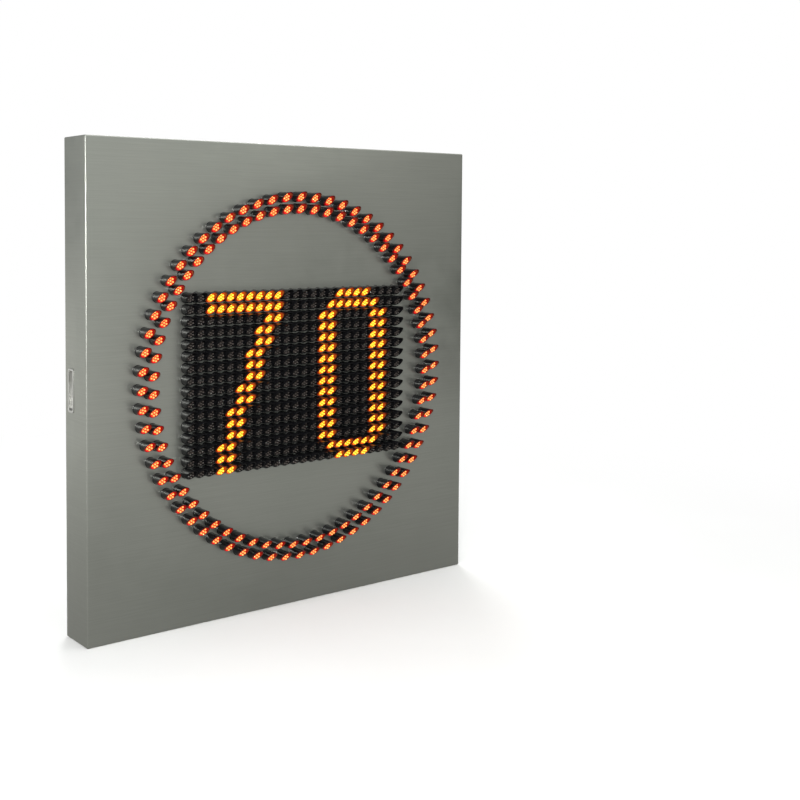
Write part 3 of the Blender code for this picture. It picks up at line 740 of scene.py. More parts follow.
def led_boards():
    """Green boards that carry the tubes, with drivers, resistors, headers and soldered leads."""
    chips, leads, joints, headers, screws = Shape(), Shape(), Shape(), Shape(), Shape()
    half = BLOCK * PITCH / 2 - GAP
    for across in range(COLUMNS // BLOCK):
        for up in range(ROWS // BLOCK):
            x = (across * BLOCK + BLOCK / 2 - COLUMNS / 2) * PITCH
            z = MIDDLE + (up * BLOCK + BLOCK / 2 - ROWS / 2) * PITCH
            label = f"{across + 1}_{up + 1}"
            corners = [(x + side * (half - 0.006), z + rise * PITCH * 3) for side in (-1, 1)
                       for rise in (-1, 1)]
            outline = rounded_rectangle(2 * half, 2 * half, (x, z), 0.002)
            board = flat_plate(f"field_board_{label}", outline,
                               [circle(spot, 0.0016) for spot in corners], BOARD_FRONT, BOARD_BACK)
            piece(f"field_board_{label}", board, "green_board", stands_for=[f"field_module_{label}"])
            places = [(x + (column - 3.5) * PITCH, z + (row - 3.5) * PITCH)
                      for column in range(BLOCK) for row in range(BLOCK)]
            solder_joints(joints, places)
            for row in (-2, 2):
                for column in (-2, -0.7, 0.7, 2):
                    small_outline_chip(chips, leads, x + column * PITCH, z + row * PITCH)
            for row in (-3, -1, 1, 3):
                for column in range(-5, 6):
                    resistor(chips, x + column * 0.55 * PITCH, z + row * PITCH)
            for side in (-1, 1):
                middle = Vector((x + side * 1.6 * PITCH, BOARD_BACK, z))
                header(headers, leads, middle, 0.024)
            for spot in corners:
                if abs(abs(spot[0]) - BLOCK * PITCH / 2) > 0.014:
                    pan_screw(screws, (spot[0], BOARD_BACK, spot[1]), REAR, 0.0028)
    header(headers, leads, Vector((-0.226, BOARD_BACK, 0.488)), 0.020)
    for segment in range(SEGMENTS):
        board = flat_plate(f"ring_board_{segment + 1}", ring_outline(segment), [], BOARD_FRONT,
                           BOARD_BACK)
        piece(f"ring_board_{segment + 1}", board, "green_board",
              stands_for=[f"ring_module_{segment + 1}"])
        solder_joints(joints, segment_places(segment))
        middle_radius = (OUTER_RING + INNER_RING) / 2
        start = seam_angle(segment, middle_radius)
        span = seam_angle(segment + 1, middle_radius) - start
        for step in range(1, 16):
            angle = start + span * step / 16
            spot = (middle_radius * math.cos(angle), MIDDLE + middle_radius * math.sin(angle))
            if step in (4, 12):
                small_outline_chip(chips, leads, *spot, -angle + math.radians(90))
            else:
                resistor(chips, *spot, -angle + math.radians(90))
        for share in (0.03, 0.97):
            angle = start + span * share
            for radius in (INNER_RING - 0.0105, OUTER_RING + 0.0105):
                pan_screw(screws, (radius * math.cos(angle), BOARD_BACK,
                                   MIDDLE + radius * math.sin(angle)), REAR, 0.0022)
    piece("board_chips", chips, "black_plastic")
    piece("board_leads", leads, "stainless")
    piece("board_joints", joints, "stainless")
    piece("board_headers", headers, "grey_plastic")
    piece("board_screws", screws, "stainless")


def header(bodies, pins, middle, length):
    """A shrouded two-row pin header standing on a board."""
    wall, height, width = 0.0011, 0.0088, 0.0088
    low = middle - Vector((length / 2, 0, width / 2))
    high = middle + Vector((length / 2, height, width / 2))
    bodies.box(low, (high.x, low.y + 0.002, high.z), 0.0002)
    bodies.box(low, (low.x + wall, high.y, high.z), 0.0002)
    bodies.box((high.x - wall, low.y, low.z), high, 0.0002)
    bodies.box(low, (high.x, high.y, low.z + wall), 0.0002)
    bodies.box((low.x, low.y, high.z - wall), (middle.x - 0.0022, high.y, high.z), 0.0002)
    bodies.box((middle.x + 0.0022, low.y, high.z - wall), high, 0.0002)
    count = int((length - 0.004) / PIN_PITCH)
    for step in range(count):
        x = middle.x + (step - (count - 1) / 2) * PIN_PITCH
        for z in (middle.z - LEAD_PITCH, middle.z + LEAD_PITCH):
            pins.box((x - 0.0003, low.y, z - 0.0003), (x + 0.0003, high.y - 0.001, z + 0.0003))


# Side pulls

def side_pull(name, side):
    """Flush cup with rounded walls and a thin flange."""
    centre = centre_of(name)[0]
    wall_face = side * (SIDE / 2 + GAP)
    shape = Shape()
    levels = (
        # half width, half height, corner radius, distance out of the side wall
        (0.0065, 0.0365, 0.0020, -0.01255), (0.0078, 0.0378, 0.0030, -0.0122),
        (0.0086, 0.0386, 0.0036, -0.0108), (0.0089, 0.0389, 0.0038, -0.0010),
        (0.0092, 0.0392, 0.0040, 0.0007), (0.0099, 0.0399, 0.0045, 0.0012),
        (0.0115, 0.0435, 0.0050, 0.0012), (0.0120, 0.0440, 0.0054, 0.0008),
        (0.0120, 0.0440, 0.0054, 0.0), (0.0100, 0.0400, 0.0042, 0.0),
        (0.0099, 0.0399, 0.0042, -0.0112), (0.0088, 0.0388, 0.0036, -0.0130),
        (0.0070, 0.0370, 0.0022, -0.0138),
    )
    rings = []
    for half_width, half_height, corner, out in levels:
        loop = rounded_rectangle(2 * half_width, 2 * half_height, (centre.y, centre.z), corner)
        rings.append([shape.mesh.verts.new((wall_face + side * out, y, z)) for y, z in loop])
    shape.join(rings)
    shape.mesh.faces.new(rings[0])
    shape.mesh.faces.new(rings[-1])
    piece(name + "_cup", shape, "stainless", stands_for=[name], angle=40)


# The back of the cabinet

def rails_and_rivets():
    """Bolts, washers and nuts of the mounting rails, and the blind rivets round the rear frame."""
    bolts, rivets = Shape(), Shape()
    for number in range(1, 5):
        middle, low, high = centre_of(f"rail_bolt_{number}")
        seat = high.y - 0.0052
        base = (middle.x, 0, middle.z)
        bolts.turned(base, REAR, [(0.0042, seat), (0.0078, seat), (0.0080, seat + 0.0003),
                                  (0.0080, seat + 0.0012), (0.0066, seat + 0.0013)], 28)
        bolts.turned(base, REAR, [(0.0068, seat + 0.0013), (0.0069, seat + 0.0042),
                                  (0.0060, seat + 0.0050), (0, seat + 0.0050)], 6)
        bolts.turned(base, REAR, threaded(seat, low.y, 0.0040, 0.00125) + [(0, low.y)], 16)
        bolts.turned(base, REAR, [(0.0042, BACK - SHEET), (0.0072, BACK - SHEET),
                                  (0.0074, BACK - 0.0078), (0.0064, BACK - 0.0084),
                                  (0.0038, BACK - 0.0084)], 6)
    piece("rail_fixings", bolts, "stainless",
          stands_for=[f"rail_bolt_{number}" for number in range(1, 5)])
    spots = [(side * 0.485, 0.13 + 0.0925 * step) for side in (-1, 1) for step in range(9)]
    spots += [(-0.405 + 0.0900 * step, height) for height in (0.022, 0.978) for step in range(10)]
    for x, z in spots:
        rivets.turned((x, BACK, z), REAR, [(0.0034, 0), (0.0033, 0.0005), (0.0026, 0.0010),
                                           (0.0012, 0.0013), (0.0010, 0.0009), (0, 0.0009)], 14)
    piece("frame_rivets", rivets, "stainless")


def louvres():
    """Pressed louvres high and low on the door, each with a filter strip behind its mouth."""
    hoods, strips = Shape(), Shape()
    length, drop, out = 0.110, 0.011, 0.0046
    door_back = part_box("rear_door")[1].y
    tops = [level - 0.019 * step for level in (0.830, 0.238) for step in range(4)]
    for top in tops:
        for centre in (-0.085, 0.085):
            rings = []
            for along in range(25):
                share = along / 12 - 1
                height = out * (1 - abs(share) ** 5) ** 0.5 + 0.00005
                ring = []
                for step in range(7):
                    turn = math.radians(15 * step)
                    ring.append(hoods.mesh.verts.new((centre + share * length / 2,
                                                      door_back + height * math.sin(turn),
                                                      top - drop * step / 6)))
                ring.append(hoods.mesh.verts.new((centre + share * length / 2,
                                                  door_back + height * 0.82, top - drop + 0.0004)))
                rings.append(ring)
            for first, second in zip(rings, rings[1:]):
                for step in range(7):
                    hoods.mesh.faces.new((first[step], first[step + 1], second[step + 1], second[step]))
            strips.box((centre - length * 0.46, door_back, top - drop + 0.0003),
                       (centre + length * 0.46, door_back + 0.0006, top - drop + 0.0030), 0.0001)
    piece("door_louvres", hoods, "cabinet_sheet", "door")
    piece("louvre_filters", strips, "gasket_rubber", "door")


def hinge_screws():
    """Countersunk screws in the frame leaves, and their twins that ride on the door."""
    fixed, moving = Shape(), Shape()
    head = [(0.0036, 0), (0.0034, 0.0003), (0.0013, 0.0004), (0.0011, -0.0006), (0, -0.0006)]
    for number in (1, 2):
        middle, _, high = centre_of(f"hinge_{number}_frame_leaf")
        door_middle, door_low, door_high = centre_of(f"hinge_{number}_door_leaf")
        for rise in (-0.045, -0.015, 0.015, 0.045):
            fixed.turned((high.x - 0.010, BACK + 0.0028, middle.z + rise), REAR, head, 16)
            moving.turned((door_low.x + 0.011, door_high.y, door_middle.z + rise), REAR, head, 16)
    piece("hinge_frame_screws", fixed, "stainless")
    piece("hinge_door_screws", moving, "stainless", "door")


def locks():
    """Each quarter-turn lock: threaded body, brass nut, and the barrel with its bit-key slot."""
    for label in ("lower", "upper"):
        middle, low, high = centre_of(f"{label}_lock_housing")
        base = (middle.x, 0, middle.z)
        top = high.y
        body = Shape().turned(base, REAR, [(0.0053, top - 0.0004), (0.0058, top), (0.0108, top),
                                           (0.0118, top - 0.0006), (0.0120, top - 0.0030),
                                           (0.0082, top - 0.0030)]
                              + threaded(top - 0.0031, low.y, 0.0082) + [(0.0053, low.y)], 36,
                              closed=True)
        piece(f"{label}_lock_body", body, "stainless", "door",
              stands_for=[f"{label}_lock_housing"])
        _, nut_low, nut_high = centre_of(f"{label}_lock_nut")
        nut = Shape().turned(base, REAR, [(0.0084, nut_high.y), (0.0130, nut_high.y - 0.0002),
                                          (0.0134, nut_high.y - 0.0007), (0.0134, nut_low.y + 0.0005),
                                          (0.0130, nut_low.y), (0.0084, nut_low.y)], 6, closed=True)
        piece(f"{label}_lock_ring", nut, "brass", "door", stands_for=[f"{label}_lock_nut"])
        _, plug_low, plug_high = centre_of(f"{label}_lock_plug")
        face = plug_high.y
        cam_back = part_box(f"{label}_lock_cam")[1].y
        plug = Shape().turned(base, REAR, [(0, face - 0.0006), (0.0012, face - 0.0006),
                                           (0.0014, face - 0.0009), (0.0014, face - 0.0050),
                                           (0.0037, face - 0.0050), (0.0037, face - 0.0003),
                                           (0.0040, face), (0.0046, face), (0.0050, face - 0.0004),
                                           (0.0050, cam_back + 0.0004), (0.0032, cam_back + 0.0004),
                                           (0.0032, plug_low.y), (0, plug_low.y)], 28)
        for side in (-1, 1):
            near, far = sorted((side * 0.0012, side * 0.0038))
            plug.box((middle.x + near, face - 0.0050, middle.z - 0.0006),
                     (middle.x + far, face - 0.0012, middle.z + 0.0006), 0.0001)
        plug.turned(base, (0, -1, 0), [(0.0033, -plug_low.y - 0.0022), (0.0052, -plug_low.y - 0.0022),
                                       (0.0054, -plug_low.y - 0.0002), (0.0030, -plug_low.y)], 6)
        piece(f"{label}_lock_barrel", plug, "stainless", f"{label}_lock",
              stands_for=[f"{label}_lock_plug"])


def entry_parts():
    """The blanked cable gland with its locknut, and the earth stud with two nuts and a washer."""
    middle, low, high = centre_of("cable_gland")
    base = (middle.x, 0, middle.z)
    out = BACK + GAP
    gland = Shape()
    gland.turned(base, REAR, [(0.0100, out), (0.0137, out), (0.0142, out + 0.0005),
                              (0.0142, out + 0.0045), (0.0130, out + 0.0052), (0.0110, out + 0.0052)], 6)
    gland.turned(base, REAR, [(0.0110, out + 0.0050), (0.0121, out + 0.0056), (0.0121, out + 0.0140),
                              (0.0112, out + 0.0168), (0.0090, out + 0.0186), (0.0075, high.y),
                              (0.0060, high.y), (0.0052, high.y - 0.0016), (0, high.y - 0.0016)], 36)
    for step in range(18):
        angle = 2 * math.pi * step / 18
        spot = Vector((middle.x + 0.0120 * math.cos(angle), 0, middle.z + 0.0120 * math.sin(angle)))
        half = Vector((0.0007, 0.0042, 0.0005))
        centre = spot + Vector((0, out + 0.0100, 0))
        gland.box(centre - half, centre + half, 0.0002, Matrix.Rotation(-angle, 3, "Y"))
    gland.turned(base, REAR, [(0, low.y), (0.0085, low.y), (0.0092, low.y + 0.0006)]
                 + threaded(low.y + 0.001, out, 0.0100, 0.0015), 24)
    piece("gland_body", gland, "grey_plastic", stands_for=["cable_gland"])
    _, low, high = centre_of("gland_locknut")
    nut = Shape().turned(base, REAR, [(0.0103, high.y), (0.0155, high.y), (0.0160, high.y - 0.0006),
                                      (0.0160, low.y + 0.0006), (0.0154, low.y), (0.0103, low.y)], 6,
                         closed=True)
    piece("gland_nut", nut, "grey_plastic", stands_for=["gland_locknut"])
    middle, low, high = centre_of("earth_stud")
    base = (middle.x, middle.y, 0)
    stud = Shape()
    stud.turned(base, (0, 0, 1), threaded(low.z + 0.006, high.z - 0.0006, 0.0040, 0.00125)
                + [(0.0034, high.z), (0, high.z)], 20)
    for start, end, radius in ((low.z, low.z + 0.0062, 0.0072),
                               (low.z + 0.0080, low.z + 0.0143, 0.0072)):
        stud.turned(base, (0, 0, 1), [(0.0040, start), (radius - 0.0005, start),
                                      (radius, start + 0.0005), (radius, end - 0.0005),
                                      (radius - 0.0006, end), (0.0040, end)], 6)
    stud.turned(base, (0, 0, 1), [(0.0042, low.z + 0.0063), (0.0088, low.z + 0.0063),
                                  (0.0090, low.z + 0.0066), (0.0090, low.z + 0.0078),
                                  (0.0042, low.z + 0.0080)], 28)
    piece("earth_terminal", stud, "brass", stands_for=["earth_stud"])


# Devices on the equipment plate

def power_supply():
    """Perforated cover, folded case, board, its large parts and the terminal strip."""
    _, low, high = centre_of("power_supply")
    floor = low.z + 0.015
    skin = 0.0009
    holes = []
    rows, columns = 22, 38
    for row in range(rows):
        for column in range(columns - row % 2):
            spot = (low.x + 0.0115 + 0.00520 * (column + 0.5 * (row % 2)), floor + 0.010 + 0.00450 * row)
            holes.append(circle(spot, 0.0019, 6))
    outline = [(low.x, floor), (high.x, floor), (high.x, high.z), (low.x, high.z)]
    cover = flat_plate("supply_cover", outline, holes, high.y - skin, high.y)
    piece("supply_cover", cover, "perforated_steel", stands_for=["power_supply"])
    case = Shape()
    case.box((low.x, low.y, floor), (high.x, low.y + skin, high.z), 0.0002)
    case.box((low.x, low.y, floor), (low.x + skin, high.y - skin, high.z), 0.0002)
    case.box((high.x - skin, low.y, floor), (high.x, high.y - skin, high.z), 0.0002)
    case.box((low.x, low.y, high.z - skin), (high.x, high.y - skin, high.z), 0.0002)
    case.box((low.x, high.y - 0.0085, floor), (high.x, high.y - skin, floor + skin), 0.0002)
    piece("supply_case", case, "zinc_steel")
    inside = Shape()
    level = low.y + 0.0050
    inside.box((low.x + 0.004, level - 0.0016, low.z + 0.001), (high.x - 0.004, level, high.z - 0.004),
               0.0002)
    piece("supply_board", inside, "green_board")
    parts = Shape()
    parts.box((low.x + 0.085, level, floor + 0.040), (low.x + 0.125, level + 0.020, floor + 0.078),
              0.0015)
    parts.box((low.x + 0.140, level, floor + 0.030), (low.x + 0.146, level + 0.018, floor + 0.090),
              0.0005)
    for x, z, radius in ((0.030, 0.040, 0.011), (0.030, 0.070, 0.011), (0.057, 0.055, 0.009),
                         (0.165, 0.035, 0.006), (0.165, 0.055, 0.006), (0.165, 0.075, 0.006),
                         (0.190, 0.050, 0.008)):
        parts.turned((low.x + x, level, floor + z), REAR, [(radius, 0), (radius, 0.0015),
                                                           (radius - 0.0005, 0.002), (radius, 0.0026),
                                                           (radius, 0.0178), (radius - 0.0008, 0.0188),
                                                           (0, 0.0188)], 24)
    strip_low, strip_high = low.x + 0.020, high.x - 0.020
    parts.box((strip_low, low.y + 0.0062, low.z), (strip_high, low.y + 0.0110, floor + 0.001), 0.0004)
    parts.box((strip_low, low.y + 0.0062, floor - 0.0024), (strip_high, low.y + 0.0180, floor + 0.001),
              0.0004)
    ways = 11
    step = (strip_high - strip_low) / ways
    screws = Shape()
    for way in range(ways + 1):
        x = strip_low + way * step
        parts.box((x - 0.0008, low.y + 0.0062, low.z), (x + 0.0008, low.y + 0.0180, floor), 0.0002)
        if way < ways:
            screws.box((x + 0.0025, low.y + 0.0110, low.z + 0.0022),
                       (x + step - 0.0025, low.y + 0.0118, floor - 0.003))
            pan_screw(screws, (x + step / 2, low.y + 0.0118, low.z + 0.0068), REAR, 0.0036)
    for x in (low.x + 0.006, high.x - 0.006):
        for z in (floor + 0.006, high.z - 0.006):
            pan_screw(screws, (x, high.y, z), REAR, 0.0026)
    piece("supply_parts", parts, "black_plastic")
    piece("supply_screws", screws, "stainless")


def control_board():
    """Controller on four posts: chips with leads, capacitors, a coin cell and plug-in terminals."""
    level = SEAT + 0.010
    top = level + 0.0016
    left, right, bottom, height = -0.240, -0.080, 0.440, 0.560
    holes = [(x, z) for x in (left + 0.006, right - 0.006) for z in (bottom + 0.006, height - 0.006)]
    board = flat_plate("controller_board", rounded_rectangle(right - left, height - bottom,
                                                             (-0.160, 0.500), 0.003),
                       [circle(spot, 0.0016) for spot in holes], level, top)
    piece("controller_board", board, "green_board", stands_for=["control_board"])
    posts, chips, pins, sockets = Shape(), Shape(), Shape(), Shape()
    for x, z in holes:
        posts.turned((x, 0, z), REAR, [(0.0033, SEAT), (0.0035, SEAT + 0.0004), (0.0035, level)], 6)
        pan_screw(pins, (x, top, z), REAR, 0.0029)

    def chip(x, z, half, lead_count):
        chips.box((x - half, top + 0.0002, z - half), (x + half, top + 0.0019, z + half), 0.0002)
        for lead in range(lead_count):
            offset = (lead - (lead_count - 1) / 2) * 1.8 * half / lead_count
            for side in (-1, 1):
                near, far = sorted((side * (half - 0.0002), side * (half + 0.0013)))
                pins.box((x + offset - 0.0002, top, z + near),
                         (x + offset + 0.0002, top + 0.0005, z + far))
                pins.box((x + near, top, z + offset - 0.0002),
                         (x + far, top + 0.0005, z + offset + 0.0002))

    chip(-0.171, 0.499, 0.010, 22)
    chip(-0.129, 0.499, 0.006, 12)
    chip(-0.205, 0.480, 0.004, 8)
    chip(-0.105, 0.470, 0.004, 8)
    for step in range(9):
        resistor_low = Vector((-0.222 + 0.012 * step, top, 0.4680))
        chips.box(resistor_low, resistor_low + Vector((0.0020, 0.0008, 0.0012)), 0.0001)
        chips.box(resistor_low + Vector((0, 0, 0.056)), resistor_low + Vector((0.0020, 0.0008, 0.0572)),
                  0.0001)
    for x, z in ((-0.213, 0.505), (-0.213, 0.520), (-0.100, 0.500)):
        chips.turned((x, top, z), REAR, [(0.0040, 0), (0.0040, 0.0009), (0.0037, 0.0012),
                                         (0.0040, 0.0016), (0.0040, 0.0092), (0.0036, 0.0097),
                                         (0, 0.0097)], 20)
    pins.turned((-0.145, top, 0.475), REAR, [(0.0095, 0), (0.0100, 0.0004), (0.0100, 0.0028),
                                             (0.0094, 0.0032), (0, 0.0032)], 32)
    pins.box((-0.186, top, 0.519), (-0.176, top + 0.0034, 0.5235), 0.0012)
    for start, end, z_low, z_high, ways in ((-0.225, -0.100, 0.541, 0.552, 24),
                                            (-0.225, -0.185, 0.446, 0.457, 8),
                                            (-0.165, -0.125, 0.446, 0.457, 8)):
        step = (end - start) / ways
        sockets.box((start, top, z_low), (end, top + 0.0045, z_high), 0.0003)
        sockets.box((start, top + 0.0040, z_low + 0.0022), (end, top + 0.0104, z_high - 0.0012), 0.0004)
        for way in range(ways):
            pan_screw(pins, (start + (way + 0.5) * step, top + 0.0102, (z_low + z_high) / 2 + 0.0005),
                      REAR, 0.0016)
            if way:
                sockets.box((start + way * step - 0.0003, top, z_low),
                            (start + way * step + 0.0003, top + 0.0090, z_low + 0.0030))
    header(sockets, pins, Vector((-0.2285, top, 0.500)), 0.020)
    piece("board_posts", posts, "brass")
    piece("controller_chips", chips, "black_plastic")
    piece("controller_pins", pins, "stainless")
    piece("controller_sockets", sockets, "grey_plastic")


def switch_row():
    """Terminal slices, and the screws, seams and windows of the breaker and the arrester."""
    _, low, high = centre_of("terminal_block")
    mid = (low.z + high.z) / 2
    seat, top = low.y, high.y
    slices, screws, marks = Shape(), Shape(), Shape()
    half = [(0.0225, seat), (0.0225, seat + 0.020), (0.0205, seat + 0.0235), (0.0080, seat + 0.0235),
            (0.0065, seat + 0.026), (0.0055, top)]
    outline = [(out, mid + across) for across, out in half] + [(out, mid - across) for across,
                                                               out in half[::-1]]
    count = 18
    step = (high.x - low.x) / count
    for number in range(count):
        start = low.x + number * step
        slices.prism(outline, start + 0.00015, start + step - 0.00015)
        for side in (-1, 1):
            spot = Vector((start + step / 2, seat + 0.0235, mid + side * 0.0140))
            screws.turned(spot, REAR, [(0.0024, 0), (0.0023, 0.0004), (0.0009, 0.0005),
                                       (0.0008, -0.0002), (0, -0.0002)], 14)
            marks.box(spot + Vector((-0.0018, -0.0002, side * 0.0035 - 0.0012)),
                      spot + Vector((0.0018, 0.0002, side * 0.0035 + 0.0012)), 0.0001)
    piece("terminal_slices", slices, "grey_plastic", stands_for=["terminal_block"])
    head = [(0.0034, 0), (0.0032, 0.0005), (0.0012, 0.0006), (0.0010, 0), (0, 0)]
    for device in ("circuit_breaker", "surge_arrester"):
        _, low, high = centre_of(device)
        for x in (low.x + 0.009, high.x - 0.009):
            for z in (low.z + 0.0095, high.z - 0.0095):
                screws.turned((x, low.y + 0.036, z), REAR, head, 18)
    _, low, high = centre_of("circuit_breaker")
    nose_face, shoulder = high.y, low.y + 0.036
    middle = (low.x + high.x) / 2
    for start, end in ((low.z, low.z + 0.0175), (high.z - 0.0175, high.z)):
        marks.box((middle - 0.00025, shoulder - 0.0002, start + 0.0004),
                  (middle + 0.00025, shoulder + 0.0001, end), 0.00005)
    for z in (low.z + 0.0235, high.z - 0.0235):
        marks.box((middle - 0.0070, nose_face - 0.0002, z - 0.0016),
                  (middle + 0.0070, nose_face + 0.0001, z + 0.0016), 0.0001)
    _, low, high = centre_of("surge_arrester")
    nose_face = high.y
    for x in (low.x + 0.009, high.x - 0.009):
        marks.box((x - 0.0026, nose_face - 0.0002, high.z - 0.0265),
                  (x + 0.0026, nose_face + 0.0002, high.z - 0.0225), 0.0002)
        marks.box((x - 0.0079, nose_face - 0.0002, low.z + 0.0245),
                  (x + 0.0079, nose_face + 0.00015, low.z + 0.0251), 0.00005)
    piece("switch_screws", screws, "stainless")
    piece("switch_marks", marks, "black_plastic")


def plate_screws():
    """Screws of the equipment plate, the cross bars and the DIN rail."""
    screws = Shape()
    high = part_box("equipment_plate")[1]
    for z in (0.285, 0.715):
        for x in (-0.245, -0.155, 0.0, 0.155, 0.245):
            pan_screw(screws, (x, high.y, z), REAR, 0.0045)
    for name in ("cross_bar_lower", "cross_bar_upper"):
        middle, _, high = centre_of(name)
        for x in (-0.480, -0.330, 0.330, 0.480):
            pan_screw(screws, (x, high.y, middle.z), REAR, 0.0042)
    for x in (-0.225, -0.160, -0.022):
        pan_screw(screws, (x + 0.003 if x < -0.2 else x, SEAT + 0.001, 0.335), REAR, 0.0030)
    piece("plate_screws", screws, "stainless")


# Looms

def smooth_route(points, steps):
    """Points of a Catmull-Rom curve through the route's own points."""
    route = [Vector(point) for point in points]
    route = [2 * route[0] - route[1]] + route + [2 * route[-1] - route[-2]]
    line = []
    for before, start, end, after in zip(route, route[1:], route[2:], route[3:]):
        for step in range(steps):
            t = step / steps
            line.append(0.5 * ((2 * start) + (end - before) * t
                               + (2 * before - 5 * start + 4 * end - after) * t ** 2
                               + (3 * start - before - 3 * end + after) * t ** 3))
    return line + [route[-2]]


def straight_end(point, direction, length=0.012):
    """Three points in line, so that a loom leaves a piece squarely."""
    return [Vector(point) + Vector(direction) * length * share for share in (0, 0.5, 1)]


def bundle(name, start, leaving, way, end, arriving, radius, strands, slot, stands_for):
    """Twisted strands along a loom's route, held by ties."""
    line = smooth_route(straight_end(start, leaving) + way + straight_end(end, arriving)[::-1], 8)
    frames, side, travelled = [], None, 0.0
    for index, point in enumerate(line):
        ahead = (line[min(index + 1, len(line) - 1)] - line[max(index - 1, 0)]).normalized()
        side = (ahead.orthogonal() if side is None else side - ahead * side.dot(ahead)).normalized()
        if index:
            travelled += (point - line[index - 1]).length
        frames.append((point, side, ahead.cross(side), travelled))
    strand = radius * (0.46 if strands > 2 else 0.49)
    shape = Shape()
    for number in range(strands):
        path = []
        for point, across, up, distance in frames:
            angle = 2 * math.pi * (number / strands + distance / 0.075)
            path.append(point + (radius - strand) * (across * math.cos(angle) + up * math.sin(angle)))
        shape.sweep(path, strand, 12)
    piece(name, shape, slot, stands_for=[stands_for])
    ties = Shape()
    for index in range(10, len(frames) - 6, 12):
        point, across, up, _ = frames[index]
        ahead = across.cross(up)
        ties.turned(point - ahead * 0.0013, ahead, [(radius - 0.0004, 0), (radius + 0.0004, 0.0001),
                                                    (radius + 0.0004, 0.0025),
                                                    (radius - 0.0004, 0.0026)], 20, closed=True)
        head = point + across * (radius + 0.0008)
        ties.box(head - Vector((0.0016, 0.0016, 0.0016)), head + Vector((0.0016, 0.0016, 0.0016)),
                 0.0003)
    piece(name + "_ties", ties, "grey_plastic")


def looms():
    """Supply from the gland to the breaker, power to the supply, signal to the field's boards."""
    gland_middle, gland_low, _ = centre_of("cable_gland")
    breaker, breaker_low, _ = centre_of("circuit_breaker")
    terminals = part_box("terminal_block")[1]
    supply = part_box("power_supply")[0]
    bundle("supply_wires", (gland_middle.x, gland_low.y - GAP, gland_middle.z), (0, -1, 0),
           [(-0.448, 0.006, 0.172), (-0.400, -0.003, 0.212), (-0.320, -0.004, 0.246),
            (-0.255, 0.003, 0.252), (-0.225, 0.009, 0.262)], (breaker.x, 0.010, breaker_low.z - GAP),
           (0, 0, -1), 0.0045, 3, "black_plastic", "supply_loom")
    bundle("power_wires", (-0.060, 0.008, terminals.z + GAP), (0, 0, 1),
           [(-0.050, 0.004, 0.381), (-0.020, -0.003, 0.388), (0.060, -0.006, 0.388),
            (0.084, -0.008, 0.394)], (0.090, -0.009, supply.z - GAP), (0, 0, -1), 0.0035, 3,
           "orange_plastic", "power_loom")
    bundle("signal_wires", (-0.240 - GAP, -0.0107, 0.500), (-1, 0, 0),
           [(-0.266, -0.012, 0.499), (-0.274, -0.020, 0.496), (-0.266, -0.031, 0.492)],
           (-0.236, BOARD_BACK + 0.0050, 0.488), (-1, 0, 0), 0.0030, 4, "grey_plastic", "signal_loom")


def carried_over():
    """CAD nodes that keep their shape take their slot's material and softened edges."""
    for part in frame["record"]["subparts"]:
        carried = NODES[part["node"]]
        if carried.hide_render:
            continue
        carried.data.materials.clear()
        carried.data.materials.append(MATERIALS[part["material_slot"]])
        weld = carried.modifiers.new("weld", "WELD")
        weld.merge_threshold = 0.00002
        soften = carried.modifiers.new("soften", "BEVEL")
        soften.width = 0.0004
        soften.segments = 2
        soften.limit_method = "ANGLE"
        soften.angle_limit = math.radians(40)


# Stage

def split_rays(made, others, shown, output):
    """The camera sees one shader, and all other rays see the other."""
    path = node(made, "ShaderNodeLightPath")
    choice = node(made, "ShaderNodeMixShader")
    wire(made, path.outputs["Is Camera Ray"], choice.inputs["Fac"])
    wire(made, others, choice.inputs[1])
    wire(made, shown, choice.inputs[2])
    wire(made, choice.outputs["Shader"], made.node_tree.nodes[output].inputs["Surface"])


def multiply_add(made, source, factor, offset):
    new = node(made, "ShaderNodeMath", operation="MULTIPLY_ADD", use_clamp=True)
    new.inputs[1].default_value, new.inputs[2].default_value = factor, offset
    wire(made, source, new.inputs[0])
    return new.outputs["Value"]


